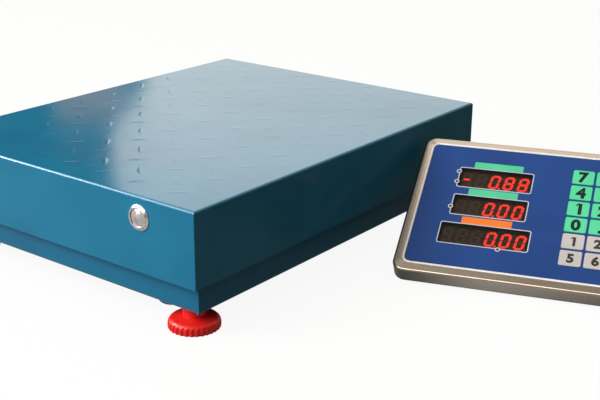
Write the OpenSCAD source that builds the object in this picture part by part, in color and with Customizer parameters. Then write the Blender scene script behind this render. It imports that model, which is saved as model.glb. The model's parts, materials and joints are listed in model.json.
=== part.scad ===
// Platform scale with a separate price indicator. Millimetres, Z up, the floor is Z = 0.
// The platform and the indicator stand in one row along X, and the origin is under the row's middle.

/* [Cover] */
// Width of the cover from side to side
deck_w = 400; // [390:5:460]
// Length of the cover from front to rear
deck_l = 500; // [480:5:600]
// Height of the cover's top above the floor
deck_top = 132.5; // [129:0.5:150]
// Height of the folded skirts
skirt_h = 77; // [60:1:90]
// Thickness of the cover's sheet
cover_t = 1.5; // [1:0.1:2]
// Outer radius of the folds along the cover's top
fold_r = 3; // [2.5:0.5:5]

/* [Tread] */
// Distance between lugs of one direction
lug_pitch = 50; // [46:1:70]
// Length of a lug
lug_len = 28; // [20:1:32]
// Width of a lug
lug_w = 8; // [6:0.5:10]
// Height of a lug above the deck
lug_h = 0.7; // [0.6:0.1:1.2]

/* [Base frame] */
// Distance from the cover's side to the frame's side
side_gap = 6; // [4:0.5:8]
// Distance from the cover's front to the frame's front
end_gap = 10; // [6:1:12]
// Height of the frame's underside above the floor
frame_clear = 25.5; // [24.5:0.5:30]
// Height of the frame's rails
rail_h = 43.5; // [40:0.5:46]
// Width of the rails' lower flange
rail_flange = 26; // [22:1:30]
// Thickness of the frame's sheet
frame_t = 2.5; // [2:0.5:3]
// Distance of each cross channel from the middle
channel_at = 65; // [60:1:80]

/* [Levelling feet] */
// Distance of a foot's axis from the cover's side
foot_in_x = 32; // [30:1:40]
// Distance of a foot's axis from the cover's end
foot_in_y = 31; // [30:1:40]
// Diameter of a foot's knob
knob_d = 52; // [42:0.5:54]
// Number of grooves round a knob
knob_grooves = 30; // [20:1:36]
// Diameter of a foot's thread
thread_d = 12; // [10:1:14]

/* [Weighing parts] */
// Length of the load cell
cell_l = 150; // [140:1:160]
// Width of the load cell
cell_w = 38; // [30:1:44]
// Height of the load cell
cell_h = 32; // [28:1:34]
// Distance between the spider's two long tubes
spider_gap = 210; // [180:5:220]
// Length of the spider's long tubes
spider_l = 410; // [360:5:420]

/* [Power button] */
// Diameter of the button's bezel
button_d = 26; // [22:1:30]
// Distance of the button from the cover's right side
button_in_x = 70; // [60:1:80]
// Distance of the button below the cover's top
button_down = 21; // [20:0.5:26]

/* [Indicator] */
// Width of the indicator's case
case_w = 294; // [290:1:320]
// Height of the indicator's case, measured along its face
case_h = 190; // [186:1:210]
// Depth of the case at its outer edge
case_d = 20.3; // [19.5:0.1:26]
// Width of the bezel round the panel
border = 11.8; // [11:0.1:13]
// Angle of the indicator's face from level
tilt = 31.4; // [25:0.1:40]
// Turn of the indicator about the vertical
yaw = 19.3; // [0:0.1:25]
// Distance of the indicator's left lower corner from the platform's middle
indicator_x = 255.6; // [250:0.1:300]

/* [Keys] */
// Width of a key's opening
key_w = 23.1; // [20:0.1:23.5]
// Height of a key's opening
key_h = 19.9; // [17:0.1:20.4]
// Travel of a key
key_travel = 0.5; // [0.3:0.1:0.5]

/* [Stand] */
// Diameter of the stand's rod
rod_d = 6; // [5:0.5:7]
// Distance between the stand's legs
stand_w = 180; // [140:5:190]
// Lean of the opened legs from the vertical
lean = 15; // [10:1:25]

/* [Hidden] */
$fn = 48;

corner_names = ["fl", "fr", "rl", "rr"];
corner_signs = [[-1, -1], [1, -1], [-1, 1], [1, 1]];
key_rows = [
    ["key_memory_5", "key_memory_6", "key_memory_7", "key_memory_8"],
    ["key_memory_1", "key_memory_2", "key_memory_3", "key_memory_4"],
    ["key_0", "key_point", "key_clear", "key_total"],
    ["key_1", "key_2", "key_3", "key_add"],
    ["key_4", "key_5", "key_6", "key_tare"],
    ["key_7", "key_8", "key_9", "key_zero_set"]
];

// Distances between pieces
eps = 0.5;
run_gap = 0.1;
move_gap = 0.3;

// Cover
cover_under = deck_top - cover_t;
skirt_low = deck_top - skirt_h;
lug_plan_r = (pow(lug_len / 2, 2) + pow(lug_w / 2, 2)) / lug_w;
lug_arc_r = (pow(lug_len / 2, 2) + pow(lug_h, 2)) / (2 * lug_h);
lug_margin = lug_len / 2 + 2;
lug_row_shift = -18;

// Base frame
frame_w = deck_w - 2 * side_gap;
frame_l = deck_l - 2 * end_gap;
bend_r = 4;
top_flange = 14;
flange_top = frame_clear + frame_t;
channel_w = 40;
channel_top = frame_clear + 34.5;
cell_pad_h = 4;
corner_plate_t = 5;
corner_plate_l = 28;
rest_boss_r = 14.4;
rest_boss_h = 5.2;
rest_boss_in = 27;
rest_edge = 1;
weld_gap = 0.05;
tray_t = 2;
tray_top = flange_top + tray_t;
tray_lip = 10;

// Feet
foot_x = deck_w / 2 - foot_in_x;
foot_y = deck_l / 2 - foot_in_y;
knob_side_h = 4.7;
knob_shoulder_r = 6;
knob_crown_h = 12.5;
knob_hub_r = 11.5;
knob_hub_top = frame_clear - 2;
knob_hollow_r = 18;
knob_hollow_h = 1.5;
knob_groove_r = 2.3;
knob_groove_depth = 1.4;
stud_low = 5;
stud_top = frame_clear + 33;
thread_nut_af = 19;
thread_nut_h = 10;

// Weighing parts
cell_low = channel_top + cell_pad_h;
cell_top = cell_low + cell_h;
cell_bore_r = 11;
cell_bore_at = 11;
cell_bolt_d = 8;
cell_bolt_ends = [8, 20];
cell_exit_y = 58;
cell_exit_z = cell_low + cell_h / 2;
spider_pad_h = 3;
spider_low = cell_top + spider_pad_h;
tube_w = 25;
tube_h = 23;
tube_t = 2;
spider_top = spider_low + tube_h;
bridge_w = 50;
bridge_at = cell_l / 2 - 16;
rear_bridge_at = 60;
pad_r = 15;
pad_at = spider_l / 2 - 5;
stop_d = 10;
stop_gap = 1;

// Power button, along its own axis with 0 at the skirt's outer face
button_flange_h = 3;
button_rim_r = button_d / 2 - 2.2;
button_barrel_r = 11;
button_barrel_l = 28;
button_cap_r = 9;
button_cap_side = 2.2;
button_cap_top = 4.2;
button_cap_low = -5;
button_well = -8;
button_travel = 2;
button_stem_r = 3;
button_nut_af = 27;
button_nut_h = 3;
button_blade_l = 6;
button_z = deck_top - button_down;
button_x = deck_w / 2 - button_in_x;

// Transmitter and battery in the platform
box_l = 120;
box_w = 80;
box_h = 26;
box_wall = 2;
box_x = -126;
lid_t = 2;
gland_r = 5;
gland_at = 34;
gland_z = tray_top + 14;
power_socket_z = frame_clear + 17;
battery_l = 101;
battery_w = 70;
battery_h = 47;
battery_x = 110;
plug_x = -165;
plug_y = -28;
plug_w = 10;
plug_h = 12;
plug_low = tray_top + box_h + lid_t - 1.5;
terminal_z = tray_top + battery_h + 2.7;

// Leads: routes in platform coordinates, with their corners rounded by lead_bend
lead_d = 5;
thin_lead_d = 4;
lead_bend = 7;
lead_sides = 8;
cell_lead_route = [
    [-23, cell_exit_y, cell_exit_z], [-36, cell_exit_y, cell_exit_z], [-36, gland_at, cell_exit_z],
    [-36, gland_at, gland_z], [-72, gland_at, gland_z]
];
battery_lead_route = [
    [66.5, -28, terminal_z], [52, -28, terminal_z], [52, -gland_at, 66],
    [52, -gland_at, gland_z], [-72, -gland_at, gland_z]
];
button_lead_route = [
    [button_x, -deck_l / 2 + 36, button_z], [button_x, -deck_l / 2 + 44, button_z],
    [button_x, -deck_l / 2 + 44, 90], [button_x, -deck_l / 2 + 7, 90],
    [-deck_w / 2 + 7, -deck_l / 2 + 7, 90], [-deck_w / 2 + 7, plug_y, 90],
    [plug_x, plug_y, 90], [plug_x, plug_y, plug_low + plug_h - 1]
];
clip_size = 8;

// Indicator: X runs along the width, Y up the face and Z out of the face, from the left lower rear corner
indicator_y = -6;
case_corner = 13;
case_edge_r = 3;
case_sheet = 1.2;
crest_h = 1.4;
crest_w = 0.8;
seam = 3.2;
plate_top = case_d + 0.2;
plate_low = plate_top - case_sheet;
panel_t = 1;
panel_top = plate_top + panel_t;
panel_w = case_w - 2 * border;
panel_h = case_h - 2 * border;
panel_corner = 4;
window_x = [36.3, 36.3, 29.9];
window_y = [109, 69.9, 30.1];
window_w = [79, 79, 94];
window_h = 26.5;
window_corner = 2;
window_flange = 1.5;
key_cols = 4;
key_pitch_x = 25.1;
key_pitch_y = 22.05;
key_right = 15.1;
key_low = 18.6;
key_x = panel_w - key_right - key_w - (key_cols - 1) * key_pitch_x;
key_proud = 0.4;
key_flange = 0.6;
key_flange_t = 1;
key_stem_r = 2.5;
board_low = 9.4;
board_t = 1.6;
board_top = board_low + board_t;
board_in = 16;
display_h = 6.6;
switch_w = 6;
switch_h = 3.5;
switch_top = plate_low - 3.1;
post_in = 10;
post_r = 3;
screw_r = 1.5;
screw_head_r = 2.8;
screw_head_h = 1.8;
post_places = [for (x = [post_in, case_w / 2, case_w - post_in], y = [post_in, case_h - post_in]) [x, y]];
standoff_places = [for (x = [24, 150, case_w - 24], y = [24, case_h - 24]) [x, y]];
jack_x = 24;
jack_y = 152;
back_edge_r = 3;
back_rim_h = 8;
cell_pack_w = 90;
cell_pack_l = 60;
cell_pack_h = 7;

// Stand
hinge_y = 130;
hinge_z = -6;
rod_r = rod_d / 2;
rod_bend = 9;
sleeve_t = 1.5;
sleeve_l = 40;
ear_gap = 12;
ear_t = 2;
ear_r = 6;
stub_l = 18;
stand_angle = 90 - tilt + lean;
hinge_up = hinge_y * sin(tilt) + hinge_z * cos(tilt);
leg_l = (hinge_up - rod_r - sleeve_t) / cos(lean);
foot_bar_y = 4;
foot_bar_l = 11;
foot_bar_w = 30;
foot_bar_in = 30;

// The row's right end, where the case's rounded lower right corner is
row_right = indicator_x
    + (case_w - case_corner) * cos(yaw) - case_corner * cos(tilt) * sin(yaw)
    + case_corner * norm([cos(yaw), cos(tilt) * sin(yaw)]) + case_d * sin(tilt) * sin(yaw);
row_shift = (row_right - deck_w / 2) / 2;

// Places

module at_platform() {
    translate([-row_shift, 0, 0]) children();
}

module at_foot(i) {
    at_platform() translate([corner_signs[i][0] * foot_x, corner_signs[i][1] * foot_y, 0]) children();
}

// The button's own Z axis points out of the front skirt
module at_button() {
    at_platform() translate([button_x, -deck_l / 2, button_z]) rotate([90, 0, 0]) children();
}

module at_indicator() {
    translate([indicator_x - row_shift, indicator_y, 0]) rotate([0, 0, yaw]) rotate([tilt, 0, 0]) children();
}

// The stand's own Y axis points away from the legs' floor bar
module at_hinge() {
    at_indicator() translate([case_w / 2, hinge_y, hinge_z]) rotate([stand_angle, 0, 0]) children();
}

// Plain shapes

module hexagon(across_flats, h) {
    cylinder(d = across_flats / cos(30), h = h, $fn = 6);
}

module rounded_rect(w, h, r) {
    square([w - 2 * r, h], center = true);
    square([w, h - 2 * r], center = true);
    for (x = [-1, 1], y = [-1, 1])
        translate([x * (w / 2 - r), y * (h / 2 - r)]) circle(r);
}

// Outline of a sheet folded down on both sides, standing on Y = 0
module fold_outline(w, h, r) {
    translate([-w / 2, 0]) square([w, h - r]);
    translate([r - w / 2, 0]) square([w - 2 * r, h]);
    for (side = [-1, 1])
        translate([side * (w / 2 - r), h - r]) circle(r);
}

// Block with rounded upper edges whose folds meet in sharp mitred corners
module folded_block(w, l, h, r) {
    intersection() {
        rotate([90, 0, 0]) linear_extrude(height = l, center = true) fold_outline(w, h, r);
        rotate([90, 0, 90]) linear_extrude(height = w, center = true) fold_outline(l, h, r);
    }
}

// Quarter of a ring in the corner where X and Y are negative
module sheet_bend(r, t) {
    intersection() {
        difference() {
            circle(r);
            circle(r - t);
        }
        translate([-r, -r]) square(r);
    }
}

// Carries a section round a rounded rectangle; the section's X runs outward from the corners' centres
module swept_rim(w, h, corner) {
    for (i = [0:3]) {
        across = i % 2 == 0 ? w : h;
        along = i % 2 == 0 ? h : w;
        rotate([0, 0, 90 * i]) {
            translate([across / 2 - corner, 0, 0])
                rotate([90, 0, 0])
                    linear_extrude(height = along - 2 * corner, center = true)
                        children();
            translate([across / 2 - corner, along / 2 - corner, 0])
                rotate_extrude(angle = 90)
                    children();
        }
    }
}

// Leads

function unit(v) = v / norm(v);

// Arc of radius r that rounds the corner b between a and c
function corner_arc(a, b, c, r, steps) =
    let (
        u = unit(a - b),
        v = unit(c - b),
        half = acos(u * v) / 2,
        centre = b + unit(u + v) * r / sin(half),
        from = unit(b + u * r / tan(half) - centre),
        to = unit(b + v * r / tan(half) - centre),
        turn = acos(from * to)
    )
    [for (i = [0:steps]) centre + r / sin(turn) * (sin(turn * (1 - i / steps)) * from + sin(turn * i / steps) * to)];

function rounded_route(route, r, steps) = concat(
    [route[0]],
    [for (i = [1:len(route) - 2]) each corner_arc(route[i - 1], route[i], route[i + 1], r, steps)],
    [route[len(route) - 1]]
);

function direction(points, i) =
    unit(points[min(i + 1, len(points) - 1)] - points[max(i - 1, 0)]);

function square_to(v, along) = unit(v - (v * along) * along);

// One vector across the lead at each point, carried along without twist
function carried(points, start) =
    [for (i = 0, v = square_to(start, direction(points, 0));
          i < len(points);
          i = i + 1, v = i < len(points) ? square_to(v, direction(points, i)) : v) v];

module lead(route, d, start) {
    points = rounded_route(route, lead_bend, 3);
    across = carried(points, start);
    rings = [
        for (i = [0:len(points) - 1], k = [0:lead_sides - 1])
            let (turn = 360 * k / lead_sides, other = cross(direction(points, i), across[i]))
            points[i] + d / 2 * (cos(turn) * across[i] + sin(turn) * other)
    ];
    last = (len(points) - 1) * lead_sides;
    sides = [
        for (i = [0:len(points) - 2], k = [0:lead_sides - 1])
            let (a = i * lead_sides + k, b = i * lead_sides + (k + 1) % lead_sides)
            each [[a, b, b + lead_sides], [a, b + lead_sides, a + lead_sides]]
    ];
    ends = [
        [for (k = [lead_sides - 1:-1:0]) k],
        [for (k = [0:lead_sides - 1]) last + k]
    ];
    polyhedron(points = rings, faces = [for (f = concat(sides, ends)) [for (k = [len(f) - 1:-1:0]) f[k]]]);
}

// Platform

module rail_section() {
    translate([0, bend_r]) square([frame_t, rail_h - 2 * bend_r]);
    translate([bend_r, 0]) square([rail_flange - bend_r, frame_t]);
    translate([bend_r, rail_h - frame_t]) square([top_flange - bend_r, frame_t]);
    translate([bend_r, bend_r]) sheet_bend(bend_r, frame_t);
    translate([bend_r, rail_h - bend_r]) mirror([0, 1]) sheet_bend(bend_r, frame_t);
}

// Rail along X with its outer face at Y = 0, mitred at both ends
module mitred_rail(length) {
    intersection() {
        rotate([90, 0, 90]) linear_extrude(height = length, center = true) rail_section();
        translate([0, 0, -1])
            linear_extrude(height = rail_h + 2)
                polygon([
                    [-length / 2, 0], [length / 2, 0],
                    [length / 2 - rail_flange, rail_flange], [rail_flange - length / 2, rail_flange]
                ]);
    }
}

module cross_channel() {
    inner_w = frame_w - 2 * frame_t + eps;
    rise = channel_top - flange_top;
    difference() {
        rotate([90, 0, 90])
            linear_extrude(height = inner_w, center = true)
                fold_outline(channel_w, rise, bend_r);
        rotate([90, 0, 90])
            linear_extrude(height = inner_w + 1, center = true)
                translate([0, -frame_t])
                    fold_outline(channel_w - 2 * frame_t, rise, bend_r - frame_t);
    }
}

// Plate over each foot, and the round boss beside it that hangs below the frame
module foot_plates() {
    inner_x = frame_w / 2 - frame_t + eps;
    inner_y = frame_l / 2 - frame_t + eps;
    plate_x = foot_x - rest_boss_in - rest_boss_r;
    plate_y = foot_y - corner_plate_l;
    for (sx = [-1, 1], sy = [-1, 1]) scale([sx, sy, 1]) {
        translate([plate_x, plate_y, flange_top])
            cube([inner_x - plate_x, inner_y - plate_y, corner_plate_t]);
    }
}

// Spot-welded cups under the corners, each a solid of its own, a hair below the rail
module frame_rests() {
    color("steelblue") at_platform()
        for (s = corner_signs)
            translate([s[0] * (foot_x - rest_boss_in), s[1] * foot_y, frame_clear - weld_gap - rest_boss_h]) {
                cylinder(r1 = rest_boss_r - rest_edge, r2 = rest_boss_r, h = rest_edge);
                translate([0, 0, rest_edge]) cylinder(r = rest_boss_r, h = rest_boss_h - rest_edge);
            }
}

module trays() {
    leg = channel_at - channel_w / 2 + eps;
    left_end = box_x + box_l / 2 + 6;
    right_start = battery_x - battery_l / 2 - 4;
    translate([-frame_w / 2 + frame_t - eps, -leg, flange_top])
        cube([frame_w / 2 - frame_t + eps + left_end, 2 * leg, tray_t]);
    translate([right_start, -leg, flange_top])
        cube([frame_w / 2 - frame_t + eps - right_start, 2 * leg, tray_t]);
    for (side = [-1, 1])
        translate([battery_x + side * (battery_l / 2 + 1.5), 0, flange_top + (tray_t + tray_lip) / 2])
            cube([2, battery_w, tray_t + tray_lip], center = true);
}

module welded_rails() {
    color("steelblue") at_platform()
        difference() {
            union() {
                for (i = [0:3])
                    rotate([0, 0, 90 * i])
                        translate([0, -(i % 2 == 0 ? frame_l : frame_w) / 2, frame_clear])
                            mitred_rail(i % 2 == 0 ? frame_w : frame_l);
                for (side = [-1, 1])
                    translate([0, side * channel_at, flange_top]) cross_channel();
                foot_plates();
                trays();
                translate([-cell_w / 2, channel_at - channel_w / 2, channel_top - eps])
                    cube([cell_w, cell_l / 2 - channel_at + channel_w / 2, cell_pad_h + eps]);
            }
            for (s = corner_signs)
                translate([s[0] * foot_x, s[1] * foot_y, 0])
                    cylinder(d = thread_d + 2 * move_gap, h = deck_top);
            for (from_end = cell_bolt_ends)
                translate([0, cell_l / 2 - from_end, flange_top])
                    cylinder(d = cell_bolt_d + 0.6, h = cell_low);
            for (s = corner_signs)
                translate([s[0] * spider_gap / 2, s[1] * channel_at, flange_top])
                    cylinder(d = stop_d + 0.2, h = cell_low);
            translate([-frame_w / 2 - 1, 0, power_socket_z])
                rotate([0, 90, 0]) cylinder(r = 5, h = frame_t + 2);
        }
}

module foot_stud(i) {
    color("silver") at_foot(i)
        translate([0, 0, stud_low]) {
            cylinder(d = thread_d, h = stud_top - stud_low - 1);
            translate([0, 0, stud_top - stud_low - 1]) cylinder(d1 = thread_d, d2 = thread_d - 2, h = 1);
        }
}

module knob_profile() {
    r = knob_d / 2;
    shoulder_r = r - knob_shoulder_r;
    shoulder_top = knob_side_h + knob_shoulder_r;
    polygon([
        [knob_hollow_r, 0], [r - 0.6, 0], [r, 1], [r, knob_side_h], [shoulder_r, knob_side_h],
        [shoulder_r, shoulder_top], [knob_hub_r, knob_crown_h], [knob_hub_r, knob_hollow_h],
        [knob_hollow_r, knob_hollow_h]
    ]);
    translate([0, knob_hollow_h]) square([knob_hub_r, knob_hub_top - 1 - knob_hollow_h]);
    translate([0, knob_hub_top - 1.5]) square([knob_hub_r - 1, 1.5]);
    intersection() {
        translate([shoulder_r, knob_side_h]) circle(r = knob_shoulder_r);
        translate([shoulder_r, knob_side_h]) square(knob_shoulder_r);
    }
}

module foot_knob(i) {
    color("red") at_foot(i)
        difference() {
            rotate_extrude() knob_profile();
            translate([0, 0, stud_low]) cylinder(d = thread_d + run_gap, h = knob_hub_top);
            for (k = [0:knob_grooves - 1])
                rotate([0, 0, 360 * k / knob_grooves])
                    translate([knob_d / 2 - knob_groove_depth + knob_groove_r, 0, -1])
                        cylinder(r = knob_groove_r, h = knob_crown_h, $fn = 16);
        }
}

module base_frame() {
    welded_rails();
    frame_rests();
}

module foot_thread_nuts() {
    color("silver") at_platform()
        for (s = corner_signs)
            translate([s[0] * foot_x, s[1] * foot_y, flange_top + corner_plate_t])
                difference() {
                    hexagon(thread_nut_af, thread_nut_h);
                    translate([0, 0, -1]) cylinder(d = thread_d + 2 * run_gap, h = thread_nut_h + 2);
                }
}

// Pointed lug: a two-arc plan cut to the height of a flat arch along its length
module lug() {
    intersection() {
        translate([0, 0, -cover_t / 2])
            linear_extrude(height = lug_h + cover_t)
                intersection() {
                    translate([0, lug_plan_r - lug_w / 2]) circle(lug_plan_r);
                    translate([0, lug_w / 2 - lug_plan_r]) circle(lug_plan_r);
                }
        translate([0, 0, lug_h - lug_arc_r])
            rotate([90, 0, 0]) cylinder(r = lug_arc_r, h = 2 * lug_w, center = true);
    }
}

// Lugs of one direction, on a square grid that starts at the shift
module lug_rows(shift, angle) {
    count = ceil(deck_l / 2 / lug_pitch) + 1;
    for (i = [-count:count], j = [-count:count]) {
        x = shift[0] + i * lug_pitch;
        y = shift[1] + j * lug_pitch;
        if (abs(x) < deck_w / 2 - lug_margin && abs(y) < deck_l / 2 - lug_margin)
            translate([x, y, deck_top]) rotate([0, 0, angle]) lug();
    }
}

module top_cover() {
    color("cornflowerblue") at_platform() {
        difference() {
            translate([0, 0, skirt_low]) folded_block(deck_w, deck_l, skirt_h, fold_r);
            translate([0, 0, skirt_low - 1])
                folded_block(deck_w - 2 * cover_t, deck_l - 2 * cover_t, skirt_h - cover_t + 1, fold_r - cover_t);
            translate([button_x, -deck_l / 2 - 1, button_z])
                rotate([-90, 0, 0]) cylinder(r = button_barrel_r + run_gap, h = cover_t + 2);
        }
        lug_rows([0, lug_row_shift], 45);
        lug_rows([lug_pitch / 2, lug_row_shift + lug_pitch / 2], -45);
    }
}

module tube_between(length, w) {
    difference() {
        cube([w, length, tube_h], center = true);
        cube([w - 2 * tube_t, length + 1, tube_h - 2 * tube_t], center = true);
    }
}

module load_spider() {
    cross_l = spider_gap - tube_w + eps;
    color("darkorange") at_platform()
        difference() {
            union() {
                for (side = [-1, 1])
                    translate([side * spider_gap / 2, 0, spider_low + tube_h / 2])
                        tube_between(spider_l, tube_w);
                translate([0, -bridge_at, spider_low + tube_h / 2])
                    rotate([0, 0, 90]) tube_between(cross_l, bridge_w);
                translate([0, rear_bridge_at, spider_low + tube_h / 2])
                    rotate([0, 0, 90]) tube_between(cross_l, tube_w);
                translate([-cell_w / 2, -cell_l / 2, cell_top])
                    cube([cell_w, 34, spider_pad_h + eps]);
            }
            for (from_end = cell_bolt_ends)
                translate([0, from_end - cell_l / 2, 0]) {
                    cylinder(d = cell_bolt_d + 0.6, h = spider_top - eps);
                    translate([0, 0, spider_low + tube_h / 2]) cylinder(d = 15, h = tube_h);
                }
            for (x = [-1, 1], y = [-1, 1])
                translate([x * spider_gap / 2, y * pad_at, spider_top - tube_h / 2])
                    cylinder(r = 4 + run_gap, h = tube_h);
        }
}

module support_pads() {
    color("dimgray") at_platform()
        for (x = [-1, 1], y = [-1, 1])
            translate([x * spider_gap / 2, y * pad_at, spider_top]) {
                cylinder(r = pad_r, h = cover_under - spider_top);
                translate([0, 0, -tube_t - 3]) cylinder(r = 4, h = tube_t + 3 + eps);
                translate([0, 0, -tube_t - 3]) cylinder(r1 = 4.5, r2 = 5.5, h = 3);
            }
}

module load_cell() {
    color("silver") at_platform()
        difference() {
            union() {
                translate([-cell_w / 2, -cell_l / 2, cell_low]) cube([cell_w, cell_l, cell_h]);
                translate([-cell_w / 2 - 4, cell_exit_y, cell_exit_z]) rotate([0, 90, 0]) cylinder(r = 4.5, h = 5);
            }
            translate([0, 0, cell_low + cell_h / 2]) {
                for (side = [-1, 1])
                    translate([0, side * cell_bore_at, 0])
                        rotate([0, 90, 0]) cylinder(r = cell_bore_r, h = cell_w + 2, center = true);
                cube([cell_w + 2, 2 * cell_bore_at, cell_bore_r], center = true);
            }
            for (end = [-1, 1], from_end = cell_bolt_ends)
                translate([0, end * (cell_l / 2 - from_end), cell_low - 1])
                    cylinder(d = cell_bolt_d + run_gap, h = cell_h + 2);
        }
}

// Cap screw whose head stands on Z = 0 and whose shank points down
module cap_screw(d, length) {
    translate([0, 0, -length]) cylinder(d = d, h = length + 1);
    difference() {
        cylinder(d = 1.5 * d, h = d - 1);
        translate([0, 0, d / 2]) cylinder(d = d / cos(30) * 0.7, h = d, $fn = 6);
    }
}

module load_cell_bolts() {
    color("dimgray") at_platform()
        for (from_end = cell_bolt_ends) {
            translate([0, from_end - cell_l / 2, spider_low + tube_t]) cap_screw(cell_bolt_d, 25);
            translate([0, cell_l / 2 - from_end, channel_top - frame_t])
                rotate([180, 0, 0]) cap_screw(cell_bolt_d, 25);
        }
}

module overload_stops() {
    color("gray") at_platform()
        for (s = corner_signs)
            translate([s[0] * spider_gap / 2, s[1] * channel_at, 0]) {
                translate([0, 0, channel_top - 14]) cylinder(d = stop_d, h = spider_low - stop_gap - channel_top + 14);
                translate([0, 0, channel_top]) hexagon(17, 6);
                translate([0, 0, channel_top - frame_t - 6]) hexagon(17, 6);
            }
}

module power_button_bezel() {
    color("silver") at_button()
        difference() {
            union() {
                rotate_extrude()
                    polygon([
                        [0, -button_barrel_l], [button_barrel_r - 1, -button_barrel_l],
                        [button_barrel_r, 1 - button_barrel_l], [button_barrel_r, 0], [button_d / 2, 0],
                        [button_d / 2, 0.8], [button_rim_r, button_flange_h], [0, button_flange_h]
                    ]);
                for (side = [-1, 1])
                    translate([4 * side, 0, -button_barrel_l - button_blade_l / 2])
                        cube([0.8, 5, button_blade_l + 1], center = true);
            }
            translate([0, 0, button_well]) cylinder(r = button_cap_r + move_gap, h = button_flange_h - button_well + 1);
            translate([0, 0, button_well - 9]) cylinder(r = button_stem_r + move_gap, h = 10);
        }
}

// The cap's face is a shallow dome
module power_button_cap() {
    crown = button_cap_top - button_cap_side;
    dome_r = (pow(button_cap_r, 2) + pow(crown, 2)) / (2 * crown);
    color("gainsboro") at_button() {
        rotate_extrude()
            intersection() {
                translate([0, button_cap_top - dome_r]) circle(dome_r);
                translate([0, button_cap_low]) square([button_cap_r, button_cap_top - button_cap_low]);
            }
        translate([0, 0, button_well - 6]) cylinder(r = button_stem_r, h = button_cap_low - button_well + 7);
    }
}

module power_button_nut() {
    color("darkgray") at_button()
        translate([0, 0, -cover_t - button_nut_h])
            difference() {
                hexagon(button_nut_af, button_nut_h);
                translate([0, 0, -1]) cylinder(r = button_barrel_r + run_gap / 2, h = button_nut_h + 2);
            }
}

module transmitter_box() {
    color("ivory") at_platform()
        difference() {
            union() {
                translate([box_x - box_l / 2, -box_w / 2, tray_top]) cube([box_l, box_w, box_h]);
                for (side = [-1, 1])
                    translate([box_x + box_l / 2 - 1, side * gland_at, gland_z])
                        rotate([0, 90, 0]) cylinder(r = gland_r, h = 9);
            }
            translate([box_x - box_l / 2 + box_wall, -box_w / 2 + box_wall, tray_top + box_wall])
                cube([box_l - 2 * box_wall, box_w - 2 * box_wall, box_h]);
            for (side = [-1, 1])
                translate([box_x + box_l / 2 - 5, side * gland_at, gland_z])
                    rotate([0, 90, 0]) cylinder(d = lead_d + run_gap, h = 20);
            translate([box_x - box_l / 2 - 1, 0, power_socket_z])
                rotate([0, 90, 0]) cylinder(r = 4.4, h = box_wall + 2);
        }
}

module transmitter_lid() {
    color("white") at_platform()
        difference() {
            union() {
                translate([box_x, 0, tray_top + box_h + lid_t / 2])
                    cube([box_l, box_w, lid_t], center = true);
                translate([box_x, 0, tray_top + box_h - 1])
                    cube([box_l - 2 * box_wall - 0.4, box_w - 2 * box_wall - 0.4, 2], center = true);
            }
            translate([box_x, 0, tray_top + box_h - 2])
                cube([box_l - 4 * box_wall, box_w - 4 * box_wall, 4], center = true);
            translate([plug_x, plug_y, tray_top + box_h - 4])
                cube([plug_w + 5.4, plug_w + 3.4, 4 * lid_t + 8], center = true);
        }
}

module transmitter_board() {
    board_z = tray_top + 6;
    socket_top = tray_top + box_h + lid_t + 2;
    color("green") at_platform() {
        translate([box_x, 0, board_z + board_t / 2]) cube([box_l - 10, box_w - 10, board_t], center = true);
        for (x = [-1, 1], y = [-1, 1])
            translate([box_x + x * (box_l / 2 - 10), y * (box_w / 2 - 10), tray_top + box_wall])
                cylinder(r = 3, h = board_z - tray_top - box_wall + eps);
        translate([box_x - 8, 8, board_z + board_t]) cube([26, 18, 3]);
        translate([box_x + 22, -14, board_z + board_t]) cube([14, 14, 2]);
        translate([box_x + 22, 16, board_z + board_t]) cylinder(r = 5, h = 11);
        translate([box_x - box_l / 2 + box_wall + 0.5, -6, board_z + board_t - eps])
            cube([12, 12, power_socket_z + 5.5 - board_z - board_t]);
        difference() {
            translate([-frame_w / 2 + 0.5, 0, power_socket_z])
                rotate([0, 90, 0]) cylinder(r = 4, h = box_x - box_l / 2 + box_wall + 2 + frame_w / 2);
            translate([-frame_w / 2, 0, power_socket_z]) rotate([0, 90, 0]) cylinder(r = 2.7, h = 10);
        }
        difference() {
            translate([plug_x, plug_y, (socket_top + board_z) / 2])
                cube([plug_w + 4, plug_w + 2, socket_top - board_z], center = true);
            translate([plug_x, plug_y, socket_top])
                cube([plug_w + 2 * move_gap, plug_w - 2 + 2 * move_gap, 12], center = true);
        }
    }
}

module platform_battery() {
    color("dimgray") at_platform() {
        translate([battery_x - battery_l / 2, -battery_w / 2, tray_top])
            cube([battery_l, battery_w, battery_h - 6]);
        translate([battery_x - battery_l / 2 + 1, -battery_w / 2 + 1, tray_top + battery_h - 7])
            cube([battery_l - 2, battery_w - 2, 7]);
        for (side = [-1, 1])
            translate([battery_x - battery_l / 2 + 10, side * 28, tray_top + battery_h - 1])
                translate([-3, -3, 0]) cube([6, 6, 6]);
    }
}

module base_leads() {
    color("black") at_platform() {
        lead(cell_lead_route, lead_d, [0, 0, 1]);
        lead(battery_lead_route, lead_d, [0, 0, 1]);
    }
}

module lead_clip(x, y, wall) {
    translate([x, y, 90]) translate([-clip_size / 2, -clip_size / 2, -clip_size / 2])
        translate([wall[0], wall[1], 0]) cube(clip_size);
}

module button_lead() {
    front_y = -deck_l / 2 + 7;
    left_x = -deck_w / 2 + 7;
    clip_shift = cover_t + clip_size / 2 - 7;
    color("black") at_platform() {
        lead(button_lead_route, thin_lead_d, [0, 0, 1]);
        for (x = [100, 30, -40, -110, -170])
            lead_clip(x, front_y, [0, clip_shift]);
        for (y = [-190, -110, -60])
            lead_clip(left_x, y, [clip_shift, 0]);
        translate([plug_x, plug_y, plug_low + plug_h / 2]) cube([plug_w, plug_w - 2, plug_h], center = true);
        translate([button_x, -deck_l / 2 + 38, button_z]) cube([12, 7, 8], center = true);
    }
}

// Indicator

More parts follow.
